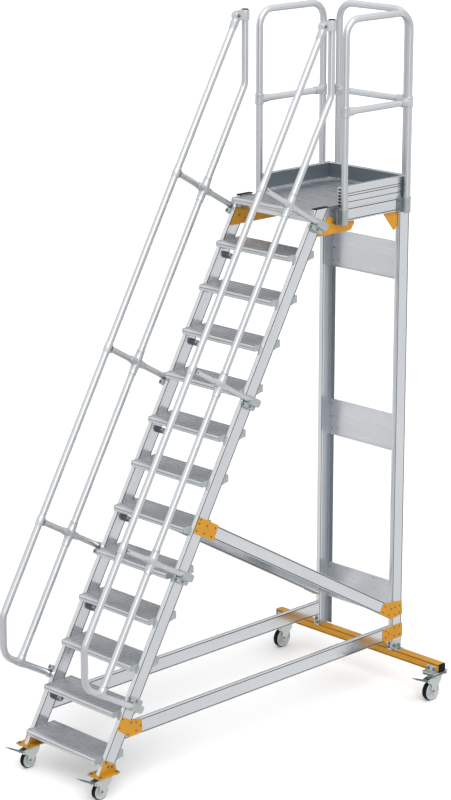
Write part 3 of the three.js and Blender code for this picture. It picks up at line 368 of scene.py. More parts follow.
class Piece:
    """One visible piece, gathered from solids in the stand's millimetres, with its materials' grain along an axis."""

    def __init__(self, name, *materials, grain=X):
        self.name = name
        self.materials = materials
        self.grain = grain.normalized()
        self.verts = []
        self.faces = []
        self.slots = []

    def add(self, verts, faces, slot=0):
        base = len(self.verts)
        self.verts.extend(verts)
        for index, face in enumerate(faces):
            self.faces.append([base + i for i in face])
            self.slots.append(slot[index] if isinstance(slot, list) else slot)
        return self

    def prism(self, outer, origin, u, v, length, holes=(), slot=0, edge_slots=None, end_slot=None, along=None,
              slants=(0, 0)):
        """Outer and hole outlines on axes u and v, pushed along u x v, or along a vector of its own.

        edge_slots gives the slot of each outer edge. slants leans the two ends: distance along per distance on v.
        """
        heading = u.cross(v)
        w = along or heading * length
        loops = [list(outer)] + [list(hole) for hole in holes]
        flat = [p for loop in loops for p in loop]
        count = len(flat)
        verts = [origin + u * a + v * b + heading * (slants[0] * b) for a, b in flat]
        verts += [origin + u * a + v * b + w + heading * (slants[1] * b) for a, b in flat]
        faces, slots = [], []
        base = 0
        for number, loop in enumerate(loops):
            turn = 1 if (signed_area(loop) > 0) == (number == 0) else -1
            for i in range(len(loop)):
                a, b = base + i, base + (i + 1) % len(loop)
                faces.append([a, b, b + count, a + count][::turn])
                slots.append(edge_slots[i] if edge_slots and number == 0 else slot)
            base += len(loop)
        caps = tessellate_polygon([[Vector((a, b, 0)) for a, b in loop] for loop in loops])
        for tri in caps:
            a, b, c = (flat[i] for i in tri)
            ccw = (b[0] - a[0]) * (c[1] - a[1]) - (b[1] - a[1]) * (c[0] - a[0]) > 0
            up = list(tri) if ccw else list(tri)[::-1]
            faces.append(up[::-1])
            faces.append([i + count for i in up])
            slots += [slot if end_slot is None else end_slot] * 2
        return self.add(verts, faces, slots)

    def box(self, xs, ys, zs, slot=0):
        x0, x1 = sorted(xs)
        return self.prism(corners(*ys, *zs), X * x0, Y, Z, x1 - x0, slot=slot)

    def slab(self, outline, xa, xb):
        """An outline of (y, z) points between two x positions."""
        return self.prism(outline, X * min(xa, xb), Y, Z, abs(xb - xa))

    def turn(self, profile, centre, axis, sides=40, slot=0):
        """A solid of revolution from (radius, distance) points along an axis; radius 0 closes it to a point."""
        axis = axis.normalized()
        side = axis.orthogonal().normalized()
        other = axis.cross(side)
        verts, rings = [], []
        for radius, distance in profile:
            mid = centre + axis * distance
            if radius < 1e-6:
                rings.append([len(verts)] * sides)
                verts.append(mid)
                continue
            rings.append(list(range(len(verts), len(verts) + sides)))
            for k in range(sides):
                angle = 2 * math.pi * k / sides
                verts.append(mid + side * (radius * math.cos(angle)) + other * (radius * math.sin(angle)))
        quads = (dict.fromkeys(quad) for low, high in zip(rings, rings[1:]) for quad in strip(low, high))
        return self.add(verts, [list(quad) for quad in quads if len(quad) > 2], slot)

    def sleeve(self, bore, profile, centre, axis, sides=40):
        """A ring round a bore, from the (radius, distance) points of its outside."""
        low, high = (bore, profile[0][1]), (bore, profile[-1][1])
        return self.turn([low, *profile, high, low], centre, axis, sides)

    def rod(self, radius, start, end, sides=16, edge=0.6):
        """A bolt shank with a small chamfer at both ends, in the second material."""
        length = (end - start).length
        profile = [(0, 0), (radius - edge, 0), (radius, edge), (radius, length - edge), (radius - edge, length),
                   (0, length)]
        return self.turn(profile, start, end - start, sides, 1)

    def pipe(self, radius, stations, wall=None, sides=32):
        """A tube through (point, tangent) stations, hollow at its ends when it has a wall."""
        verts, rings = [], []
        side = stations[0][1].orthogonal().normalized()
        last = stations[0][1]
        for point, tangent in stations:
            side = last.rotation_difference(tangent) @ side
            side = (side - tangent * side.dot(tangent)).normalized()
            last = tangent
            rings.append((point, side, tangent.cross(side)))

        def ring(at, r):
            base = len(verts)
            point, a, b = at
            verts.extend(point + (a * math.cos(t) + b * math.sin(t)) * r
                         for t in (2 * math.pi * k / sides for k in range(sides)))
            return list(range(base, base + sides))

        outside = [ring(at, radius) for at in rings]
        faces = [quad for low, high in zip(outside, outside[1:]) for quad in strip(low, high)]
        if wall:
            inside = [ring(at, radius - wall) for at in rings]
            faces += [quad[::-1] for low, high in zip(inside, inside[1:]) for quad in strip(low, high)]
            faces += [quad[::-1] for quad in strip(outside[0], inside[0])]
            faces += strip(outside[-1], inside[-1])
        else:
            faces += [outside[0][::-1], outside[-1]]
        return self.add(verts, faces)

    def hex_bolt(self, centre, axis, across, height, slot=1, washer=True):
        """A hexagon bolt head on a washer, standing on a face at a centre."""
        axis = axis.normalized()
        base = 0
        if washer:
            self.turn([(0, 0), (across * 0.85, 0), (across * 0.85, 1.6), (0, 1.6)], centre, axis, 20, slot)
            base = 1.6
        r = across / math.sqrt(3)
        profile = [(0, base), (r, base), (r, base + height - 1), (r * 0.86, base + height), (0, base + height)]
        return self.turn(profile, centre, axis, 6, slot)

    def rivet(self, centre, axis, radius):
        """A domed blind-rivet head with its mandrel hole, in the second material."""
        profile = [(radius, -0.4), (radius, 0.5), (radius * 0.85, 1.7), (radius * 0.5, 2.4), (radius * 0.3, 2.4),
                   (radius * 0.28, 1.4), (0, 1.4)]
        return self.turn(profile, centre, axis, 16, 1)

    def finish(self, slot, replaces=None, bevel=0, body="frame"):
        """Makes the object in metres, on a body, and hides the CAD node that it stands for. slot, the record slot, is
        not used.
        """
        low = Vector([min(v[i] for v in self.verts) for i in range(3)])
        mesh = bpy.data.meshes.new(self.name)
        mesh.from_pydata([(v - low) * MM for v in self.verts], [], self.faces)
        mesh.polygons.foreach_set("material_index", self.slots)
        shell = bmesh.new()
        shell.from_mesh(mesh)
        bmesh.ops.recalc_face_normals(shell, faces=shell.faces)
        shell.to_mesh(mesh)
        shell.free()
        for material in self.materials:
            mesh.materials.append(grained(material, self.grain))
        mesh.shade_smooth()
        mesh.set_sharp_from_angle(angle=SMOOTH_ANGLE)
        made = bpy.data.objects.new(self.name, mesh)
        bpy.context.collection.objects.link(made)
        made.matrix_world = Matrix.Translation((low - Y * (DEPTH / 2)) * MM)
        if bevel:
            modifier = made.modifiers.new("edges", "BEVEL")
            modifier.width = bevel * MM
            modifier.segments = 2
            modifier.limit_method = "ANGLE"
            modifier.angle_limit = math.radians(50)
            modifier.harden_normals = False
        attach(made, body)
        if replaces:
            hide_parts(replaces)


def corners(x0, x1, y0, y1):
    """A rectangle's corners, in turn from the first."""
    return [(x0, y0), (x1, y0), (x1, y1), (x0, y1)]


def moved(outline, dx, dy):
    return [(dx + a, dy + b) for a, b in outline]


def flipped(outline, side):
    """An outline drawn for the right-hand side, on either side."""
    return [(side * a, b) for a, b in outline]


def mirrored(profile):
    """Half a closed ring's (radius, distance) points, its other half and the first point again."""
    return profile + [(r, -d) for r, d in profile[::-1]] + profile[:1]


def strip(low, high):
    return [[low[k], low[(k + 1) % len(low)], high[(k + 1) % len(low)], high[k]] for k in range(len(low))]


def signed_area(loop):
    return sum(a[0] * b[1] - b[0] * a[1] for a, b in zip(loop, loop[1:] + loop[:1])) / 2


def rounded(points, radius, count=4):
    """An outline with each of its corners rounded. radius is one number or one for each corner."""
    made = []
    total = len(points)
    radii = radius if isinstance(radius, (list, tuple)) else [radius] * total
    for i, corner in enumerate(points):
        here = Vector(corner)
        before = Vector(points[i - 1]) - here
        after = Vector(points[(i + 1) % total]) - here
        r = radii[i]
        angle = before.angle(after)
        if r <= 0 or angle > math.radians(175):
            made.append(tuple(here))
            continue
        reach = min(r / math.tan(angle / 2), before.length * 0.49, after.length * 0.49)
        r = reach * math.tan(angle / 2)
        start = here + before.normalized() * reach
        end = here + after.normalized() * reach
        centre = here + (before.normalized() + after.normalized()).normalized() * (r / math.sin(angle / 2))
        a0 = math.atan2(start.y - centre.y, start.x - centre.x)
        a1 = math.atan2(end.y - centre.y, end.x - centre.x)
        sweep = (a1 - a0 + math.pi) % (2 * math.pi) - math.pi
        for k in range(count + 1):
            a = a0 + sweep * k / count
            made.append((centre.x + r * math.cos(a), centre.y + r * math.sin(a)))
    return made


def rectangle(width, height, radius=0, count=3):
    w, h = width / 2, height / 2
    return rounded(corners(-w, w, -h, h), radius, count)


def disc(cx, cy, radius, count=24):
    return [(cx + radius * math.cos(2 * math.pi * k / count), cy + radius * math.sin(2 * math.pi * k / count))
            for k in range(count)]


def path(corners, bends, step=math.radians(9)):
    """(point, tangent) stations along straight runs with round bends at the inner corners."""
    stations = [(corners[0], (corners[1] - corners[0]).normalized())]
    for i, radius in enumerate(bends, 1):
        into = (corners[i] - corners[i - 1]).normalized()
        away = (corners[i + 1] - corners[i]).normalized()
        turn = into.angle(away)
        axis = into.cross(away).normalized()
        centre = corners[i] + (away - into).normalized() * (radius / math.cos(turn / 2))
        start = corners[i] - into * (radius * math.tan(turn / 2)) - centre
        count = math.ceil(turn / step)
        for k in range(count + 1):
            spin = Quaternion(axis, turn * k / count)
            stations.append((centre + spin @ start, spin @ into))
    stations.append((corners[-1], (corners[-1] - corners[-2]).normalized()))
    return stations


def bar_outline(width, depth, grooves, stretch=1.0):
    """The outline of a grooved bar, and a slot for each of its edges: 1 marks a groove's floor and walls, which take a
    darker copy of the bar's colour as painted shade.
    """
    w, h = width / 2, depth * stretch / 2
    edge = []
    slots = []
    for centre in (-grooves / 2, grooves / 2):
        low, high = (centre - GROOVE_WIDTH / 2) * stretch, (centre + GROOVE_WIDTH / 2) * stretch
        edge += [(w, low), (w - GROOVE_DEPTH, low + 0.6), (w - GROOVE_DEPTH, high - 0.6), (w, high)]
        slots += [1, 1, 1, 0]
    low_corner = rounded(corners(-w, w, -h, h), 2.5, 3)[4:8]
    ends = [0] * len(low_corner)
    right = low_corner + edge + [(x, -y) for x, y in low_corner][::-1]
    return right + [(-x, -y) for x, y in right], (ends + slots + ends) * 2


def bar_hollow(width, depth, stretch=1.0):
    """The two chambers inside a bar."""
    w = width / 2 - WALL - 1
    h = (depth / 2 - WALL) * stretch
    return [corners(-w, w, -h, -2), corners(-w, w, 2, h)]


# ---- Stair ----

def stiles():
    for hand, side in HANDS:
        outline, slots = bar_outline(BAR_WIDTH, BAR_DEPTH, BAR_GROOVES, 1 / math.sin(STAIR_ANGLE))
        low = FOOT_PLATE_TOP + SEAT
        rise = STILE_TOP - low
        x = side * (INNER_X + BAR_WIDTH / 2)
        setback = STILE_SETBACK + STILE_DEPTH / 2
        origin = Vector((x, nose_y(low) + setback, low))
        piece = Piece(f"stile_{hand}_bar", ALU, GROOVE_FLOOR_PAINTED_SHADE, grain=UP_STAIR)
        piece.prism(outline, origin, X, Y, rise, holes=bar_hollow(BAR_WIDTH, BAR_DEPTH, 1 / math.sin(STAIR_ANGLE)),
                    edge_slots=slots, along=Vector((0, rise * COT, rise)))
        piece.finish("aluminium", replaces=f"stile_{hand}")
        cap = Piece(f"stile_cap_{hand}", BLACK)
        top = Vector((x, nose_y(STILE_TOP) + setback, STILE_TOP))
        cap.prism(rectangle(BAR_WIDTH + 8, STILE_DEPTH + 9, 5), top + Z * SEAT, X, Y, 4)
        cap.prism(rectangle(BAR_WIDTH - 8, STILE_DEPTH - 8, 2), top - Z * 14, X, Y, 15)
        cap.finish("black_plastic", bevel=1.2)


def ribbed_top(front, back, depth, strong=0):
    """Ribs along a flat top, as points from its back to its front, four for each groove. One in three can be strong."""
    count = int((back - front) / RIB_PITCH)
    margin = (back - front - count * RIB_PITCH) / 2
    points = []
    for i in range(count, 0, -1):
        wide, deep = (strong, strong * 0.45) if strong and (count - i) % 3 == 1 else (RIB_GROOVE, depth)
        y = front + margin + (i - 0.5) * RIB_PITCH + wide / 2
        points += [(y, 0), (y - wide * 0.25, -deep), (y - wide * 0.75, -deep), (y - wide, 0)]
    return points


def tread_outline(depth, back_height, rib_depth, strong=0):
    """A tread's section with its nosing at (0, 0), and slots: 1 on the ribs' tops, 2 in the strong grooves and the
    notch on the nose, which a tread paints darker as shade.
    """
    nose = rounded([(0, 0), (0, -NOSE), (27, -NOSE), (27, -5)], [9, 7, 1.5, 2])
    # A notch across the nose's front, in slot 2; on a tread its darker colour is a painted shade line.
    nose[5:5] = [(0, -13), (1.8, -13.6), (1.8, -15.9), (0, -16.5)]
    back = rounded([(depth - 20, -5), (depth - 20, -back_height), (depth, -back_height), (depth, 0)], [2, 1.5, 3, 3])
    ribs = ribbed_top(12, depth - 5, rib_depth, strong)
    outline = nose + back + ribs
    slots = [0] * 5 + [2, 2, 2] + [0] * (len(nose) + len(back) - 9) + [1]
    for i in range(len(ribs) // 4):
        slots += [2, 2, 2, 1] if i % 3 == 1 else [1, 1, 1, 1]
    return outline, slots


def tread_chambers(depth, back_height):
    return [corners(3, 24, 3 - NOSE, -NOSE / 2 - 1), [(3, 1 - NOSE / 2), (24, 1 - NOSE / 2), (24, -6), (3, -10)],
            corners(depth - 17, depth - 3, 3 - back_height, -6)]


def steps():
    end = INNER_X - SEAT
    for number in range(1, STEPS + 1):
        z = number * RISE
        outline, slots = tread_outline(TREAD_DEPTH, TREAD_BACK, 0.35, strong=3.6)
        name = f"step_{number:02d}"
        piece = Piece(f"{name}_tread", NOSE_ALU, TREAD, TREAD_GROOVE_PAINTED_SHADE)
        at = Vector((-end + 4, nose_y(z), z))
        piece.prism(outline, at, Y, Z, 2 * end - 8, holes=tread_chambers(TREAD_DEPTH, TREAD_BACK), edge_slots=slots)
        piece.finish("tread", replaces=name)
        for hand, side in HANDS:
            step_end(name, hand, side, z)
            if number % 2 == 0:
                step_bracket(name, hand, side, z)


def step_end(name, hand, side, z):
    """The cast end of a tread: a nose shell, a flange down the stile, and its bolts."""
    y = nose_y(z)
    end = side * (INNER_X - SEAT)
    flange = rounded([(0, 1), (0, -NOSE - 1), (28, -NOSE - 1), (62, -57), (150, -57), (196, -TREAD_BACK - 1),
                      (TREAD_DEPTH, -TREAD_BACK - 1), (TREAD_DEPTH, 1)], [10, 9, 6, 12, 12, 8, 4, 4])
    piece = Piece(f"{name}_end_{hand}", CAST, BOLT)
    piece.slab(moved(flange, y, z), end, end - side * 4.5)
    for dy, dz in ((52, -43), (104, -46), (156, -43)):
        piece.hex_bolt(Vector((end - side * 4.4, y + dy, z + dz)), X * -side, 10, 5)
    piece.finish("casting", bevel=1.0)


def step_bracket(name, hand, side, z):
    """The dark cast shoe under every second tread, in line with the stile."""
    along = z / math.sin(STAIR_ANGLE)
    outline = rounded([(-24, -100), (-46, -103), (-60, -122), (-56, -150), (-42, -162), (-24, -162)],
                      [4, 8, 8, 8, 8, 4])
    low = min(side * (INNER_X - SEAT), side * (INNER_X - 30))
    piece = Piece(f"{name}_shoe_{hand}", DARK_CAST, ZINC, grain=UP_STAIR)
    piece.prism(outline, on_stair(along, 0, low), UP_STAIR, OFF_STAIR, 30 - SEAT, holes=[disc(-37, -149, 6)])
    for low_by, perp in ((36, -114), (44, -133)):
        piece.hex_bolt(on_stair(along - low_by, perp, side * (INNER_X - 29.8)), X * -side, 10, 5)
    piece.finish("casting", bevel=1.2)


# ---- Platform ----

def platform():
    front = nose_y(DECK_Z)
    edge = INNER_X - PLATE - 2 * SEAT
    back = RAIL_BACK - SEAT
    planks = 5
    first = 150
    outline, slots = tread_outline(first, NOSE, 0.6)
    piece = Piece("platform_deck_nose_plank", NOSE_ALU, DECK_ALU, DECK_ALU)
    at = Vector((-edge, front, DECK_Z))
    piece.prism(outline, at, Y, Z, 2 * edge, holes=tread_chambers(first, NOSE), edge_slots=slots)
    piece.finish("aluminium", replaces="platform_deck")
    for hand, side in HANDS:
        end = rounded([(0, 0.6), (0, -NOSE - 0.6), (50, -NOSE - 0.6), (50, 0.6)], [9, 7, 3, 2])
        cap = Piece(f"platform_nose_end_{hand}", CAST)
        cap.slab(moved(end, front, DECK_Z - 0.6), side * (edge + SEAT), side * (INNER_X + 12))
        cap.finish("casting", bevel=1.2)
    start = front + first + 1
    width = (back - BAR_WIDTH - 2 - start) / planks
    for i in range(planks):
        y = start + i * width
        plank = Piece(f"platform_plank_{i + 1}", DECK_ALU)
        deep = width - 1
        section = [(0, -0.8), (0, -30), (8, -30), (8, -4), (deep - 8, -4), (deep - 8, -30), (deep, -30), (deep, -0.8),
                   (deep - 1, 0), *ribbed_top(4, deep - 4, 0.6), (1, 0)]
        plank.prism(section, Vector((-edge, y, DECK_Z)), Y, Z, 2 * edge)
        plank.finish("aluminium")
    beam = Piece("platform_front_beam", ALU)
    beam.prism(rounded([(1876, 3040), (1908, 3040), (1908, DECK_Z - 8), (1876, DECK_Z - 36)], 2), X * -edge, Y, Z,
               2 * edge, holes=[corners(1879, 1905, 3043, 3080)])
    beam.finish("aluminium")
    rail = Piece("platform_rear_cross_rail", ALU, GROOVE_FLOOR_PAINTED_SHADE)
    height = RAIL_HIGH - RAIL_LOW
    outline, slots = bar_outline(BAR_WIDTH, height, RAIL_GROOVES)
    middle = Vector((-edge, back - BAR_WIDTH / 2, RAIL_LOW + height / 2))
    rail.prism(outline, middle, Y, Z, 2 * edge, holes=bar_hollow(BAR_WIDTH, height), edge_slots=slots)
    rail.finish("aluminium")


def side_rails():
    height = RAIL_HIGH - RAIL_LOW
    outline, slots = bar_outline(BAR_WIDTH, height, RAIL_GROOVES)
    for hand, side in HANDS:
        piece = Piece(f"side_rail_{hand}_bar", ALU, GROOVE_FLOOR_PAINTED_SHADE, grain=Y)
        origin = Vector((side * (OUTER_X - BAR_WIDTH / 2), RAIL_BACK, RAIL_LOW + height / 2))
        piece.prism(outline, origin, X, Z, RAIL_BACK - RAIL_FRONT, holes=comb_chambers(BAR_WIDTH, height, 5),
                    edge_slots=slots)
        piece.finish("aluminium", replaces=f"side_rail_{hand}")
        bracket = rounded([(1776, 2956), (2185, 2956), (2221, 3001), (2186, 3030), (2046, 3012), (2034, 3046),
                           (2003, 3063), (1972, 3046), (1950, 3046), (1834, 3058)],
                          [6, 14, 14, 10, 8, 12, 18, 12, 8, 6])
        face = side * (INNER_X - SEAT)
        plate = Piece(f"platform_bracket_{hand}", ORANGE, RIVET_PAINTED_SHADE)
        plate.slab(bracket, face, face - side * PLATE)
        # Rivet heads in the darkened orange: painted shade.
        for y, z in ((1850, 3010), (1900, 2985), (1935, 3020), (2003, 3030), (2100, 2982), (2160, 2982), (2130, 3010)):
            plate.rivet(Vector((face - side * PLATE, y, z)), X * -side, 6)
        plate.finish("orange", bevel=0.6)
        gusset = rounded([(2448, RAIL_LOW - SEAT), (2545, 2903), (2575, 2926), (2575, RAIL_LOW - SEAT)], [4, 8, 4, 3])
        x = side * (OUTER_X - 12)
        wing = Piece(f"post_gusset_{hand}", ORANGE)
        wing.slab(gusset, x, x - side * PLATE)
        wing.slab([(2450, RAIL_LOW - SEAT), (2450, RAIL_LOW - 3), (2574, RAIL_LOW - 3), (2574, RAIL_LOW - SEAT)],
                  x + side * 10, x - side * 13)
        wing.finish("orange", bevel=0.6)


def comb_chambers(width, height, count, web=WALL):
    """Chambers in a stack up a hollow section, with webs between them."""
    w = width / 2 - WALL - 1
    pitch = (height - web) / count
    rooms = []
    for i in range(count):
        low = -height / 2 + web + i * pitch
        rooms.append(corners(-w, w, low, low + pitch - web))
    return rooms


def toe_outline():
    """A toe board's section: u points out of the platform, v is up. Slots: 1 groove, in painted shade; 2 the inner
    face, painted dark as shade.
    """
    out, half = TOE_THICK / 2, (TOE_TOP - RAIL_HIGH - SEAT) / 2
    middle = (TOE_TOP + RAIL_HIGH + SEAT) / 2
    outline = [(-out, -half), (out, -half)]
    slots = [0, 0]
    for height in (3134, 3170, 3184):
        v = height - middle
        outline += [(out, v - 2), (out - 2.5, v - 1.5), (out - 2.5, v + 1.5), (out, v + 2)]
        slots += [1, 1, 1, 0]
    outline += [(out, half - 3), (out - 3, half), (-out + 2, half), (-out, half - 2), (-out, 3141 - middle),
                (-out - 6, 3138 - middle), (-out - 6, 3130 - middle), (-out, 3127 - middle)]
    slots += [0, 0, 0, 2, 0, 0, 0, 0]
    return outline, slots


def toe_boards():
    outline, slots = toe_outline()
    middle = (TOE_TOP + RAIL_HIGH + SEAT) / 2
    chambers = comb_chambers(TOE_THICK - 3, TOE_TOP - RAIL_HIGH - 4, 6, web=7)
    for hand, side in HANDS:
        piece = Piece(f"toe_board_{hand}_bar", ALU, GROOVE_FLOOR_PAINTED_SHADE, TOE_INSIDE_PAINTED_SHADE, grain=Y)
        x = side * (OUTER_X - TOE_THICK / 2)
        length = TOE_BACK - TOE_THICK - SEAT - TOE_FRONT
        u = X * side
        origin = Vector((x, TOE_FRONT + length if side > 0 else TOE_FRONT, middle))
        # Slot 2, the inner face, takes the dark copy: painted shade.
        piece.prism(outline, origin, u, Z, length, holes=chambers, edge_slots=slots, end_slot=0)
        piece.finish("aluminium", replaces=f"toe_board_{hand}")
        corner_comb(hand, side)
    rear = Piece("toe_board_rear_bar", ALU, GROOVE_FLOOR_PAINTED_SHADE, TOE_INSIDE_PAINTED_SHADE)
    origin = Vector((-OUTER_X, TOE_BACK - TOE_THICK / 2, middle))
    rear.prism(outline, origin, Y, Z, 2 * OUTER_X, holes=chambers, edge_slots=slots, end_slot=0)
    rear.finish("aluminium", replaces="toe_board_rear")


def corner_comb(hand, side):
    """The toothed key that joins a side toe board to the rear one, on the outer face."""
    low, high, teeth = RAIL_HIGH + 4, TOE_TOP - 4, 6
    pitch = (high - low) / teeth
    outline = [(2606, low), (2606, high)]
    for k in range(teeth, 0, -1):
        top = low + k * pitch
        outline += [(2582, top), (2582, top - pitch * 0.5), (2594, top - pitch * 0.5), (2594, top - pitch)]
    key = Piece(f"toe_board_key_{hand}", DARK_CAST)
    face = side * (OUTER_X + SEAT)
    key.slab(outline, face, face + side * 2.2)
    key.finish("casting", bevel=0.4)


# ---- Guard rails ----

def guard_rails():
    for hand, side in HANDS:
        def beside(y, z, x=side * TUBE_X):
            return Vector((x, y, z))

        hoop(f"guard_hoop_{hand}", beside, (GUARD_FRONT, GUARD_BACK))
        knee_rail(f"knee_rail_{hand}", beside, (GUARD_FRONT, GUARD_BACK), Y)
        for place, y in (("front", GUARD_FRONT), ("rear", GUARD_BACK)):
            shift = FRONT_SOCKET_SHIFT if place == "front" else 0
            socket(f"guard_socket_{hand}_{place}", beside(y, SOCKET_LOW), X * side, -Y, OUTER_X, shift)
        end_shoe(hand, side)

    def behind(x, z):
        return Vector((x, REAR_Y, z))

    hoop("guard_hoop_rear", behind, (-REAR_X, REAR_X))
    knee_rail("knee_rail_rear", behind, (-REAR_X, REAR_X), X)
    for hand, side in HANDS:
        socket(f"guard_socket_rear_{hand}", behind(side * REAR_X, SOCKET_LOW), Y, X * -side, RAIL_BACK)


def hoop(name, place, across):
    a, b = across
    foot = SOCKET_LOW + 6
    corners = [place(a, foot), place(a, GUARD_TOP), place(b, GUARD_TOP), place(b, foot)]
    piece = Piece(f"{name}_tube", TUBE_ALU, grain=Z)
    piece.pipe(TUBE, path(corners, [BEND, BEND]), wall=TUBE_WALL)
    piece.finish("aluminium", replaces=name)


def socket(name, foot, out, ear, face, shift=0):
    """The cast cup that a guard post stands in, webbed to a flange on the bar beside it.

    ear is the side that the flange reaches out to, and shift moves the flange the other way.
    """
    height = SOCKET_HIGH - SOCKET_LOW
    piece = Piece(name, CAST, BOLT, TEAL_CAST_PAINTED_SHADE, grain=Z)
    cup = [(SOCKET_R - 2, 0), (SOCKET_R - 0.5, 4), (SOCKET_R - 1.2, height - 16), (SOCKET_R, height - 13),
           (SOCKET_R, height - 1.5), (SOCKET_R - 1.5, height)]
    piece.sleeve(ROUND_TUBE, cup, foot, Z)
    across = Z.cross(out)
    sign = 1 if across.dot(ear) > 0 else -1
    inner = face + SEAT - abs(foot.dot(out))
    plan = [(inner, 66 - shift), (inner, -22 - shift), (inner + 4, -22 - shift), (inner + 4, -8), (-14, -9), (-14, 9),
            (inner + 6, 30), (inner + 4, 66 - shift)]
    plan = rounded([(a, sign * b) for a, b in plan], [1, 1, 1, 3, 2, 2, 8, 1])
    # The flange web, in slot 2, takes the darker cast copy: painted shade.
    piece.prism(plan, foot + Z * 10, out, across, height - 14, slot=2)
    for b in (26, height - 20):
        piece.hex_bolt(foot + out * (inner + 4) + across * (sign * (52 - shift)) + Z * b, out, 9, 4)
    piece.finish("casting", bevel=0.8)


def end_shoe(hand, side):
    """The cast shoe that closes the front end of a side rail, with its long screws."""
    piece = Piece(f"side_rail_shoe_{hand}", TEAL_CAST_PAINTED_SHADE, BOLT)
    low, high = RAIL_LOW - 8, RAIL_HIGH + 4
    face = rounded(corners(INNER_X + 2, TUBE_X - 2, low, high), 4)
    # The shoe is all in the darker cast copy: painted shade on its front face.
    piece.prism(flipped(face, side), Y * (RAIL_FRONT - SEAT), X, Z, 4.5)
    for x, z in ((INNER_X + 9, high - 9), (INNER_X + 28, high - 9), (INNER_X + 9, low + 12)):
        at = Vector((side * x, RAIL_FRONT - 4.8, z))
        piece.hex_bolt(at, -Y, 12, 7)
        piece.rod(3.5, at, at - Y * 24, 12)
    piece.finish("casting", bevel=0.8)


def knee_rail(name, place, across, axis):
    a, b = across
    bar = Piece(f"{name}_tube", TUBE_ALU, grain=axis)
    bar.pipe(TUBE - 1, path([place(a + 30, KNEE_Z), place(b - 30, KNEE_Z)], []))
    bar.finish("aluminium", replaces=name)
    for place_name, at, way in (("a", a, 1), ("b", b, -1)):
        tee = Piece(f"{name}_tee_{place_name}", JOINT, BOLT, grain=Z)
        centre = place(at, KNEE_Z)
        collar = [(24, -31), (25.5, -28), (25, -23), (24.2, 0), (25, 23), (25.5, 28), (24, 31)]
        branch = [(24, 6), (25.3, 22), (24.6, 36), (22.6, 56), (22.2, 64), (23, 66), (23, 70), (22, 72)]
        tee.sleeve(ROUND_TUBE, collar, centre, Z)
        tee.sleeve(TUBE - 0.6, branch, centre, axis * way)
        out = Z.cross(axis)
        away = 1 if centre.dot(out) > 0 else -1
        tee.hex_bolt(centre + axis * (way * 56) + Z * -22.5, -Z, 8, 3, washer=False)
        tee.hex_bolt(centre - Z * 20 + out * (away * 23), out * away, 7, 2, slot=0, washer=False)
        tee.finish("aluminium")


# ---- Handrails ----

def inner_rail_y():
    foot = on_stair(0, INNER_PERP)
    return foot.y + (INNER_BEND_Z - foot.z) * COT


def handrails():
    for hand, side in HANDS:
        x = side * TUBE_X
        up = Vector((x, inner_rail_y(), INNER_BEND_Z))
        inner = Piece(f"handrail_inner_{hand}_tube", TUBE_ALU, grain=UP_STAIR)
        start = on_stair(BOTTOM_ARM + TUBE + 1, INNER_PERP, x)
        end = Vector((x, up.y, RAIL_TOP - 4))
        inner.pipe(TUBE, path([start, up, end], [BEND]), wall=TUBE_WALL)
        inner.finish("aluminium", replaces=f"handrail_inner_{hand}")
        cap = Piece(f"handrail_cap_{hand}", BLACK)
        cap.turn([(0, -14), (TUBE - TUBE_WALL - 0.2, -14), (TUBE - TUBE_WALL - 0.2, 0.1), (TUBE + 0.8, 0.2),
                  (TUBE + 0.8, 2.6), (TUBE - 1.5, 5.2), (0, 5.8)], end, Z)
        cap.finish("black_plastic")
        outer_rail(hand, x)
        top_connector(hand, x, up.y)
        for place, along in ARMS.items():
            arm(f"handrail_arm_{place}_{hand}", x, side, along)
        holder(f"handrail_foot_holder_{hand}", side, BOTTOM_ARM, 1)
        foot_sleeve(f"handrail_foot_tee_{hand}", x, side)


def outer_rail(hand, x):
    slope = on_stair(0, OUTER_PERP)
    knee = slope.z + (RAIL_FRONT_Y - slope.y) / COT
    foot_arm = on_stair(BOTTOM_ARM, 0)
    corner = foot_arm.z + (foot_arm.y - RAIL_FRONT_Y) / math.sin(STAIR_ANGLE) * math.cos(STAIR_ANGLE)
    corners = [on_stair(OUTER_TOP, OUTER_PERP, x), Vector((x, RAIL_FRONT_Y, knee)), Vector((x, RAIL_FRONT_Y, corner)),
               on_stair(BOTTOM_ARM, ARM_END, x)]
    piece = Piece(f"handrail_outer_{hand}_tube", TUBE_ALU, grain=UP_STAIR)
    piece.pipe(TUBE, path(corners, [BEND, BEND + 15]), wall=TUBE_WALL)
    piece.finish("aluminium", replaces=f"handrail_outer_{hand}")


def top_connector(hand, x, inner_y):
    """The cast head between the two rails' upper ends, with its clamping lug."""
    top = on_stair(OUTER_TOP, OUTER_PERP)
    piece = Piece(f"handrail_head_{hand}", JOINT, BOLT)
    low, high = top.z - 20, top.z + 42
    centre = Vector((x, inner_y, 0))
    half = (high - low) / 2
    piece.sleeve(ROUND_TUBE, [(25, low), (26, low + 3), (26, high - 3), (25, high)], centre, Z)
    piece.slab(rounded(corners(top.y - 2, inner_y - 21, low + 4, high - 4), 5), x - 20, x + 20)
    knuckle = Vector((x, top.y - 2, low + half))
    piece.turn([(0, -21), (23, -21), (24.5, -19), (24.5, 19), (23, 21), (0, 21)], knuckle, X)
    for way in (1, -1):
        piece.hex_bolt(knuckle + X * (way * 21), X * way, 12, 5)
    piece.turn([(0, -20), (ROUND_TUBE, -20), (ROUND_TUBE, -72), (22.8, -70), (22.8, -54), (24.2, -50), (24.2, -2),
                (0, -2)], on_stair(OUTER_TOP, OUTER_PERP, x), UP_STAIR)
    piece.finish("casting")


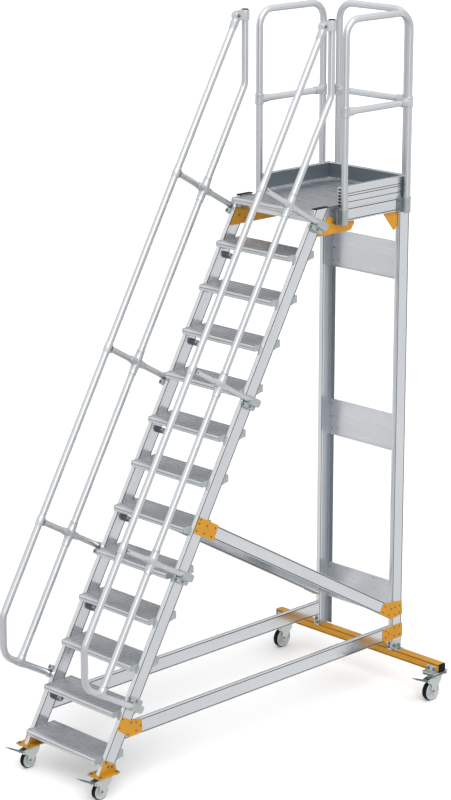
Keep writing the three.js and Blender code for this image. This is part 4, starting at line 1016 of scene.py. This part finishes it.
def arm(name, x, side, along):
    front = on_stair(along, OUTER_PERP - TUBE - 1, x)
    back = on_stair(along, ARM_END + 6, x)
    bar = Piece(f"{name}_tube", TUBE_ALU, grain=OFF_STAIR)
    bar.pipe(ARM, path([back, front], []), wall=TUBE_WALL)
    bar.finish("aluminium", replaces=name)
    cross = Piece(f"{name}_cross", JOINT, BOLT, grain=UP_STAIR)
    centre = on_stair(along, INNER_PERP, x)
    shape = [(ROUND_TUBE, -76), (22.4, -76), (23, -74), (23, -67), (22.2, -64), (24.5, -34), (27, -8)]
    cross.turn(mirrored(shape), centre, UP_STAIR)
    for way in (1, -1):
        cross.sleeve(ROUND_ARM, [(24.5, 8), (26, 20), (23.4, 34), (20.6, 50), (21.2, 52), (21.2, 58), (20, 60)], centre,
                     OFF_STAIR * way)
    for way in (1, -1):
        cross.hex_bolt(centre + UP_STAIR * (way * 63) + X * (side * 22.6), X * side, 7, 3, washer=False)
    cross.finish("aluminium")
    saddle = Piece(f"{name}_saddle", JOINT, BOLT, grain=OFF_STAIR)
    joint = on_stair(along, OUTER_PERP, x)
    saddle.sleeve(ROUND_ARM, [(19.6, -42), (20.4, -40), (20.4, -34), (19.8, -32), (21.5, -25), (24, -20.8)], joint,
                  OFF_STAIR)
    saddle.sleeve(ROUND_TUBE, [(21.8, -27), (22.6, -25), (23.2, 0), (22.6, 25), (21.8, 27)], joint, UP_STAIR)
    saddle.hex_bolt(joint - OFF_STAIR * 37 + X * (side * 20.2), X * side, 7, 3, washer=False)
    saddle.finish("aluminium")
    holder(f"{name}_holder", side, along, -1)


def holder(name, side, along, up):
    """The round-ended cast cup over an arm's foot on the outer face of a stile, and the bolted saddle beside it."""
    inner = side * (OUTER_X + SEAT)
    outer = side * (TUBE_X + 22.5)
    low, width = min(inner, outer), abs(outer - inner)
    front, back = -62, -148
    cup = rounded([(-23.5, front), (-23.5, back), (23.5, back), (23.5, front)], [2, 17, 17, 2], 8)
    piece = Piece(name, CAST, BOLT, grain=UP_STAIR)
    piece.prism(cup, on_stair(along, 0, low), UP_STAIR, OFF_STAIR, width)
    lip = rounded([(-24.6, front + 1), (-24.6, front - 5), (24.6, front - 5), (24.6, front + 1)], 1)
    base = min(inner, outer + side)
    piece.prism(lip, on_stair(along, 0, base), UP_STAIR, OFF_STAIR, width + 1)
    far = inner + side * 32
    saddle = rounded(corners(24, 50, -38, -134), [1, 8, 8, 1])
    ridge = rounded(corners(29, 53, -50, -122), [1, 9, 9, 1])
    for outline, wide in ((saddle, 32), (ridge, 22)):
        origin = on_stair(along, 0, min(inner, inner + side * wide))
        piece.prism(flipped(outline, up), origin, UP_STAIR, OFF_STAIR, wide)
    for perp, way in ((-38, 1), (-134, -1)):
        piece.hex_bolt(on_stair(along + up * 37, perp, inner + side * 20), OFF_STAIR * way, 11, 6)
    piece.hex_bolt(on_stair(along + up * 37, -86, far), X * side, 9, 3)
    piece.finish("casting", bevel=1.6)


def foot_sleeve(name, x, side):
    """Where the inner rail starts from the lowest arm."""
    piece = Piece(name, JOINT, BOLT, grain=UP_STAIR)
    centre = on_stair(BOTTOM_ARM, INNER_PERP, x)
    piece.sleeve(ROUND_TUBE, [(23, 6), (25.5, 20), (23.5, 32), (21.6, 48), (22, 50), (22, 56), (21.2, 58)], centre,
                 UP_STAIR)
    piece.sleeve(ROUND_TUBE, [(21.8, -36), (22.5, -34), (23.6, 0), (22.5, 34), (21.8, 36)], centre, OFF_STAIR)
    piece.hex_bolt(centre + UP_STAIR * 53 + X * (side * 21.8), X * side, 7, 3, washer=False)
    piece.finish("aluminium")


# ---- Back frame ----

def post_outline(depth):
    """A post's section: u points out of the stand. Slots: 1 a groove, with its floor in painted shade; 2 the sunk web
    of the inner face, painted darker as shade.
    """
    outline, slots = bar_outline(BAR_WIDTH, depth, BAR_GROOVES)
    half = len(outline) // 2
    w, h = BAR_WIDTH / 2, depth / 2
    lip = [(-w, h), (-w, h - 5), (-w + 4, h - 5.5), (-w + 4, -h + 18.5), (-w, -h + 18), (-w, -h + 8),
           (-w + 2.5, -h + 7.4), (-w + 2.5, -h + 4.6), (-w, -h + 4), (-w, -h)]
    return outline[:half] + lip, slots[:half] + [0, 2, 2, 0, 0, 1, 1, 1, 0, 0]


def rear_posts():
    depth = POST_BACK - POST_FRONT
    outline, slots = post_outline(depth)
    for hand, side in HANDS:
        low, high = BEAM_HIGH + SEAT, RAIL_LOW - SEAT
        origin = Vector((side * (OUTER_X - BAR_WIDTH / 2), (POST_FRONT + POST_BACK) / 2, low))
        piece = Piece(f"rear_post_{hand}_bar", ALU, GROOVE_FLOOR_PAINTED_SHADE, POST_WEB_PAINTED_SHADE, POST_FLANGE_PAINTED_SHADE, grain=Z)
        # Slot 2, the sunk inner web, takes the darker copy: painted shade.
        piece.prism(flipped(outline, side), origin, X, Y, high - low, holes=bar_hollow(BAR_WIDTH - 6, depth),
                    edge_slots=slots)
        flange = sorted((side * (INNER_X - 27), side * (INNER_X + 1)))
        # The inner rear flange, in slot 3, takes the darkest copy: painted shade.
        piece.box(flange, (POST_BACK - POST_FLANGE, POST_BACK - 0.1), (low, high - SOCKET_ROOM), slot=3)
        piece.finish("aluminium", replaces=f"rear_post_{hand}")
        post_clamp(hand, side)


def post_clamp(hand, side):
    """The bent zinc clamp that bolts the foot of a post down over the beam."""
    piece = Piece(f"post_clamp_{hand}", ZINC, BOLT, grain=Z)
    x0 = side * (OUTER_X + SEAT)
    foot = BEAM_HIGH + SEAT
    wall = rounded([(POST_FRONT - 8, foot), (POST_FRONT - 8, 296), (2640, 296), (2664, 274), (2664, foot)],
                   [3, 8, 10, 6, 3])
    piece.slab(wall, x0, x0 + side * 4)
    piece.box((x0, x0 + side * 40), (BEAM_FRONT + 2, BEAM_FRONT + BEAM - 2), (foot, foot + 5))
    front = rounded(corners(INNER_X - 2, OUTER_X + 3, foot, 300), [3, 3, 6, 10])
    piece.prism(flipped(front, side), Y * (POST_FRONT - SEAT), X, Z, 4)
    for y, z in ((2600, 270), (2640, 262)):
        piece.hex_bolt(Vector((x0 + side * 4, y, z)), X * side, 13, 8)
    piece.hex_bolt(Vector((x0 + side * 24, BEAM_FRONT + BEAM / 2, foot + 5)), Z, 13, 8)
    for dx, z in ((INNER_X + 10, 260), (INNER_X + 17, 284)):
        piece.hex_bolt(Vector((side * dx, POST_FRONT - SEAT - 4, z)), -Y, 13, 8)
    piece.finish("galvanised", bevel=0.8)


def cross_panels():
    back = POST_BACK - POST_FLANGE - SEAT
    for place, low in PANELS.items():
        high = low + PANEL_HEIGHT
        half = INNER_X - SEAT
        piece = Piece(f"cross_panel_{place}_sheet", SHEET, BOLT)
        section = rounded([(back, low), (back, high), (back - 14, high), (back - 14, high - 2), (back - 2, high - 2),
                           (back - 2, low + 2), (back - 14, low + 2), (back - 14, low)], [2.5, 2.5, 0, 0, 1, 1, 0, 0])
        piece.prism(section, X * -half, Y, Z, 2 * half)
        for x in (-half + 13, half - 13):
            for z in (low + 34, low + PANEL_HEIGHT / 2, high - 34):
                piece.rivet(Vector((x, back - 2, z)), -Y, 5)
        piece.finish("aluminium", replaces=f"cross_panel_{place}")


def sloped_bars():
    outline, slots = bar_outline(BAR_WIDTH, BAR_DEPTH, BAR_GROOVES)
    brace_line, brace_slots = bar_outline(BAR_WIDTH, BRACE, BRACE_GROOVES)
    for hand, side in HANDS:
        x = side * (OUTER_X - BAR_WIDTH / 2)
        middle = BASE_RAIL_LOW + BAR_DEPTH / 2
        behind = STILE_SETBACK + STILE_DEPTH + 2 * SEAT
        back = Vector((x, POST_FRONT - SEAT, middle))
        length = back.y - (nose_y(middle) + behind)
        rail = Piece(f"base_rail_{hand}_bar", ALU, GROOVE_FLOOR_PAINTED_SHADE, grain=Y)
        rail.prism(outline, back, X, Z, length, holes=bar_hollow(BAR_WIDTH, BAR_DEPTH), edge_slots=slots,
                   slants=(0, -COT))
        rail.finish("aluminium", replaces=f"base_rail_{hand}")
        centre = BRACE_LOW + BRACE / 2
        start = on_stair(centre, -STILE_SETBACK * math.sin(STAIR_ANGLE) - BAR_DEPTH - 2 * SEAT, x)
        reach = (POST_FRONT - SEAT - start.y) / math.sin(STAIR_ANGLE)
        brace = Piece(f"brace_{hand}_bar", ALU, GROOVE_FLOOR_PAINTED_SHADE, grain=OFF_STAIR)
        brace.prism(brace_line, start, X, -UP_STAIR, reach, holes=bar_hollow(BAR_WIDTH, BRACE), edge_slots=brace_slots,
                    slants=(0, COT))
        brace.finish("aluminium", replaces=f"brace_{hand}")


PLATES = {
    "base_front": ([(320, 452), (281, 384), (376, 315), (473, 317), (470, 400), (394, 412)], [8, 8, 14, 6, 8, 10],
                   [(324, 438), (298, 392), (388, 398), (362, 334), (425, 390), (425, 340), (458, 362)]),
    "base_rear": ([(2497, 399), (2497, 326), (2522, 306), (2676, 311), (2673, 400)], [5, 10, 8, 5, 5],
                  [(2520, 380), (2520, 340), (2548, 360), (2600, 385), (2600, 330), (2645, 385), (2645, 330)]),
    "brace_upper": ([(929, 1491), (876, 1406), (1034, 1322), (1081, 1405)], [8, 8, 8, 8],
                    [(902, 1414), (926, 1452), (938, 1472), (962, 1384), (986, 1424), (1018, 1352), (1050, 1396)]),
    "brace_lower": ([(2503, 569), (2463, 506), (2565, 446), (2672, 458), (2665, 546)], [8, 8, 10, 6, 6],
                    [(2492, 512), (2512, 546), (2546, 480), (2568, 516), (2604, 520), (2604, 470), (2646, 520),
                     (2646, 474)]),
}


def plates():
    for hand, side in HANDS:
        for name, (outline, radii, rivets) in PLATES.items():
            face = side * (OUTER_X + SEAT)
            piece = Piece(f"gusset_{name}_{hand}", ORANGE, RIVET_PAINTED_SHADE, grain=Y)
            piece.slab(rounded(outline, radii), face, face + side * PLATE)
            # Rivet heads in the darkened orange: painted shade.
            for y, z in rivets:
                piece.rivet(Vector((face + side * PLATE, y, z)), X * side, 5.5)
            piece.finish("orange", bevel=0.6)


# ---- Feet and beam ----

def caster_top(caster):
    return 2 * caster["radius"] + HEADROOM


def stile_feet():
    caster = CASTERS["front"]
    y = caster["y"]
    top = caster_top(caster)
    for hand, side in HANDS:
        x = side * caster["x"]
        piece = Piece(f"foot_bracket_{hand}", ORANGE, BOLT, grain=Y)
        pad = rounded(corners(-56, 56, -80, 76), 8)
        piece.prism(moved(pad, x, y), Z * (FOOT_PLATE_TOP - 6), X, Y, 6)
        cheek = rounded([(183, 235), (143, FOOT_PLATE_TOP - 2), (271, FOOT_PLATE_TOP - 2), (268, 184)], [12, 2, 2, 14])
        face = side * (OUTER_X + SEAT)
        piece.slab(cheek, face, face + side * PLATE)
        inner_top = RISE - 59
        inside = [(165, inner_top), (145, FOOT_PLATE_TOP - 2), (271, FOOT_PLATE_TOP - 2), (270, inner_top)]
        piece.slab(inside, side * (INNER_X - SEAT), side * (INNER_X - SEAT - PLATE))
        for by, bz in ((196, 214), (212, 184), (240, 178)):
            piece.hex_bolt(Vector((face + side * PLATE, by, bz)), X * side, 11, 6)
        for dx in (-40, 40):
            for dy in (-62, 62):
                piece.hex_bolt(Vector((x + dx, y + dy, FOOT_PLATE_TOP)), Z, 13, 7)
        piece.finish("orange", replaces=f"stile_foot_{hand}", bevel=0.8)
        mount = Piece(f"front_caster_plate_{hand}", ZINC, BOLT)
        edge = rounded(corners(-42, 42, -70, 70), 9)
        mount.prism(moved(edge, x, y), Z * top, X, Y, FOOT_PLATE_TOP - 6 - top - 0.1)
        for dx in (-36, 36):
            for dy in (-62, 62):
                under = Vector((x + dx, y + dy, top))
                mount.rod(4, under - Z * 9, under + Z)
                mount.hex_bolt(under, -Z, 12, 6)
        mount.finish("galvanised", bevel=0.6)


def outrigger():
    middle_y = BEAM_FRONT + BEAM / 2
    outline, slots = bar_outline(BEAM, BEAM, BEAM_GROOVES)
    beam = Piece("outrigger_beam_bar", ORANGE, ORANGE_GROOVE_PAINTED_SHADE)
    origin = Vector((-BEAM_HALF, middle_y, BEAM_LOW + BEAM / 2))
    # The grooves, in slot 1, take the dark orange: painted shade.
    beam.prism(outline, origin, Y, Z, 2 * BEAM_HALF, holes=[rectangle(BEAM - 8, BEAM - 8)], edge_slots=slots)
    beam.finish("orange", replaces="outrigger_beam")
    for hand, side in HANDS:
        cap = Piece(f"beam_cap_{hand}", BLACK)
        face = Vector((side * (BEAM_HALF + SEAT), middle_y, BEAM_LOW + BEAM / 2))
        edge = rectangle(BEAM - 0.4, BEAM - 0.4, 5)
        cap.prism(edge, face if side > 0 else face - X * 6.4, Y, Z, 6.4)
        cap.finish("black_plastic", bevel=1.4)
        caster_mount(hand, side)


def caster_mount(hand, side):
    """The plates under a beam end that carry a rear caster, and the clamp in front of the beam."""
    caster = CASTERS["rear"]
    x, y = side * caster["x"], caster["y"]
    top = caster_top(caster)
    piece = Piece(f"rear_caster_plates_{hand}", ZINC, BOLT, DARK_CAST)
    wide = rounded(corners(-50, 50, -68, 66), 7)
    piece.prism(moved(wide, x, y), Z * (BEAM_LOW - 8), X, Y, 7.6)
    for row in range(3):
        low = top + 5.2 + row * 3.2
        piece.box((x - 44 + row, x + 44 - row), (y - 60, y + 58), (low, low + 2.6), slot=2)
    narrow = rounded(corners(-50, 50, -66, 64), 7)
    piece.prism(moved(narrow, x, y), Z * top, X, Y, 5)
    for dx in (-38, 38):
        for dy in (-52, 50):
            under = Vector((x + dx, y + dy, top))
            piece.hex_bolt(under, -Z, 12, 6)
            piece.rod(4.2, under, Vector((x + dx, y + dy, BEAM_LOW - 4)))
    piece.finish("galvanised", bevel=0.7)
    clamp = Piece(f"beam_clamp_{hand}", ZINC, BOLT)
    front = BEAM_FRONT - SEAT
    clamp.prism(rounded(corners(x - 38, x + 38, BEAM_LOW - 6, BEAM_LOW + 40), 6), Y * front, X, Z, 5)
    dome = [(0, 0), (11, 0), (11, 3), (9.5, 6.5), (6, 8.5), (0, 9)]
    for dx in (-22, 22):
        clamp.turn(dome, Vector((x + dx, front - 5, 205)), -Y, 24, slot=1)
    clamp.finish("galvanised", bevel=1.0)


# ---- Casters ----

def casters():
    for place, caster in CASTERS.items():
        for hand, side in HANDS:
            name = f"{place}_caster_{hand}"
            base = Vector((side * caster["x"], caster["y"], 0))
            caster_fork(name, base, caster)
            caster_wheel(name, base, caster)
            brake_pedal(name, base, caster)


def caster_fork(name, base, caster):
    radius, trail = caster["radius"], caster["trail"]
    half = caster["width"] / 2 + 2
    top = caster_top(caster) - SEAT
    crown = top - 12
    leg = rounded([(38, crown), (34, crown - 30), (-trail + 15, radius - 13), (-trail + 8, radius - 17),
                   (-trail - 8, radius - 17), (-trail - 17, radius - 6), (-trail - 17, radius + 6),
                   (-trail - 13, crown - 36), (-88, crown - 28), (-88, crown - 8), (-50, crown)],
                  [4, 16, 12, 8, 10, 8, 6, 20, 6, 6, 10])
    body = f"{name}_fork"
    piece = Piece(f"{body}_shell", ZINC, BOLT)
    for sign in (-1, 1):
        inner, outer = base.x + sign * half, base.x + sign * (half + PLATE)
        piece.slab(moved(leg, base.y, 0), inner, outer)
        piece.slab(disc(base.y - trail, radius, 13), outer - sign * 0.2, outer + sign * 1.0)
        axle = Vector((outer, base.y - trail, radius))
        piece.hex_bolt(axle + X * (sign * 0.9), X * sign, 15, 4, washer=False)
        piece.turn([(0, 5.4), (4.5, 5.4), (4.5, 4.6), (0, 4.6)], axle, X * sign, 16, slot=1)
    bridge = rounded(corners(-half - PLATE, half + PLATE, crown - 6, crown), [0.5, 0.5, 3, 3])
    piece.prism([(-base.x - a, b) for a, b in bridge][::-1], Y * (base.y - 48), -X, Z, 86)
    piece.turn([(0, crown - 0.5), (33, crown - 0.5), (33.4, crown + 2), (31.6, crown + 4.2), (31.6, crown + 5.6),
                (33, crown + 7), (31, top - 0.2), (0, top - 0.2)], base, Z, 48)
    pivot = Vector((base.x, base.y - PEDAL_AHEAD, caster_top(caster) - PEDAL_DROP))
    reach = half + PLATE + 3
    piece.rod(3, pivot - X * reach, pivot + X * reach)
    piece.finish("galvanised", replaces=body, body=body)


def caster_wheel(name, base, caster):
    radius, width = caster["radius"], caster["width"]
    half = width / 2
    body = f"{name}_wheel"
    centre = base + Vector((0, -caster["trail"], radius))
    tyre = Piece(f"{body}_tyre", RUBBER)
    edge = [(12, 3.4), (4.6, 3), (3.6, 1.6), (1.6, 2.6), (0.4, 5), (0, 8)]
    tyre.turn(mirrored([(radius - sunk, -half + inside) for sunk, inside in edge]), centre, X, 96)
    tyre.finish("tyre", replaces=body, body=body)
    hub = Piece(f"{body}_hub", HUB, BOLT)
    rim = radius - 12.6
    face = half - 1.2
    shape = [(7, -face + 6), (12, -face + 1.5), (15.5, -face + 1.2), (16.5, -face + 5), (rim - 5, -face + 5.4),
             (rim - 2, -face + 2.2), (rim + 2, -face + 0.3), (radius - 4.8, -face), (radius - 4.6, -face + 1.9),
             (rim, -face + 2.4)]
    hub.turn(mirrored(shape), centre, X, 96)
    for sign in (-1, 1):
        for k in range(8):
            angle = 2 * math.pi * (k + 0.5) / 8
            out, across = Y * math.cos(angle) + Z * math.sin(angle), Z * math.cos(angle) - Y * math.sin(angle)
            rib = [(15, -2.2), (rim - 4, -1.5), (rim - 4, 1.5), (15, 2.2)]
            low = min(sign * (face - 5.4), sign * (face - 1.6))
            hub.prism(rib, centre + X * low, out, across, 3.8)
    hub.finish("tyre", body=body)


def brake_pedal(name, base, caster):
    half = caster["width"] / 2 + 1
    pivot = base + Vector((0, -PEDAL_AHEAD, caster_top(caster) - PEDAL_DROP))
    tilt = math.radians(caster["tilt"])
    ahead = Vector((0, -math.cos(tilt), math.sin(tilt)))
    up = Vector((0, math.sin(tilt), math.cos(tilt)))
    body = f"{name}_brake_pedal"
    piece = Piece(f"{body}_plate", DARK_ZINC, RUBBER, grain=Y)
    blade = rounded([(4, -half + 5), (30, -half), (126, -half), (126, half), (30, half), (4, half - 5)],
                    [2, 8, 9, 9, 8, 2])
    piece.prism(blade, pivot - up * 1.4, ahead, up.cross(ahead), 2.8)
    skirt = rounded([(2, -7), (14, -9), (60, -6), (124, -3), (124, 1), (2, 1)], [3, 3, 0, 1, 1, 1])
    for sign in (-1, 1):
        piece.prism(skirt, pivot + X * (sign * (half - 1.5) - 1.2), ahead, up, 2.4, along=X * 2.4)
    for k in range(5):
        at = pivot + ahead * (74 + k * 9) + up * 1.3
        piece.prism([(-half + 5, 0), (half - 5, 0), (half - 6, 1.5), (-half + 6, 1.5)], at, ahead.cross(up), up, 3)
    piece.sleeve(3.4, [(6.8, -half), (6.8, half)], pivot, X, 24)
    piece.finish("galvanised", replaces=body, body=body)


# ---- Stage ----

def floor():
    mesh = bpy.data.meshes.new("floor")
    reach = 60
    mesh.from_pydata([(x, y, 0) for x, y in corners(-reach, reach, -reach, reach)], [], [(0, 1, 2, 3)])
    made = bpy.data.objects.new("floor", mesh)
    bpy.context.collection.objects.link(made)
    g = Graph("studio_floor", (0.94, 0.94, 0.94), 0.9, 0.0)
    g.set("Base Color", g.ramp(g.noise(0.6, 2), (0.93, 0.93, 0.93), (0.95, 0.95, 0.95)))
    mesh.materials.append(g.material)
    made.visible_glossy = False


def area_light(name, place, target, size, watts):
    data = bpy.data.lights.new(name, "AREA")
    data.shape = "RECTANGLE"
    data.size, data.size_y = size
    data.energy = watts
    made = bpy.data.objects.new(name, data)
    bpy.context.collection.objects.link(made)
    made.location = place
    made.rotation_euler = (Vector(target) - Vector(place)).to_track_quat("-Z", "Y").to_euler()


def sun(name, azimuth, elevation, strength, spread):
    data = bpy.data.lights.new(name, "SUN")
    data.energy = strength
    data.angle = math.radians(spread)
    made = bpy.data.objects.new(name, data)
    bpy.context.collection.objects.link(made)
    a, e = math.radians(azimuth), math.radians(elevation)
    source = Vector((math.cos(a) * math.cos(e), math.sin(a) * math.cos(e), math.sin(e)))
    made.rotation_euler = (-source).to_track_quat("-Z", "Y").to_euler()


def lights():
    """A pale studio: bright overhead and at the sides, darker low down behind the stand."""
    world = bpy.data.worlds.new("studio")
    nodes = Nodes(world)
    place = nodes.node("ShaderNodeTexCoord").outputs["Generated"]
    height = nodes.node("ShaderNodeSeparateXYZ", {"Vector": place}).outputs["Z"]
    across = nodes.node("ShaderNodeVectorMath", {0: place, 1: (-0.35, 0.35, 0)}, operation="DOT_PRODUCT")
    behind = nodes.node("ShaderNodeMath", {0: across.outputs["Value"], 1: 0.5}).outputs[0]
    levels = ((0.0, 0.75), (0.3, 0.62), (0.5, 0.95), (0.68, 0.9), (0.85, 0.3), (1.0, 0.22))
    walls = nodes.stops(behind, *((at, (level, level, level * 1.01)) for at, level in levels))
    overhead = nodes.stops(height, (0.1, 0.0), (0.6, (1.0, 1.0, 1.01)))
    room = nodes.blend(overhead, walls, (1.1, 1.1, 1.1))
    seen = nodes.blend(nodes.node("ShaderNodeLightPath").outputs["Is Camera Ray"], room, (1, 1, 1))
    background = nodes.tree.nodes["Background"]
    nodes.tree.links.new(seen, background.inputs["Color"])
    background.inputs["Strength"].default_value = 1.0
    bpy.context.scene.world = world
    bpy.context.scene.view_settings.view_transform = "Standard"
    sun("key", -35, 52, 1.3, 40)
    area_light("window", (7, -5, 4.5), (0, 0.3, 1.9), (3, 5), 60)


def camera():
    """The photograph's view: a long lens from the front right, higher than the stand and looking down on it."""
    data = bpy.data.cameras.new("camera")
    data.lens = 114.95
    data.clip_end = 100
    made = bpy.data.objects.new("camera", data)
    bpy.context.collection.objects.link(made)
    made.location = (10.235, -9.942, 5.995)
    made.rotation_euler = (math.radians(74.47), 0, math.radians(45.55))
    bpy.context.scene.camera = made


camera()
stiles()
steps()
platform()
side_rails()
toe_boards()
guard_rails()
handrails()
rear_posts()
cross_panels()
sloped_bars()
plates()
stile_feet()
outrigger()
casters()
floor()
lights()
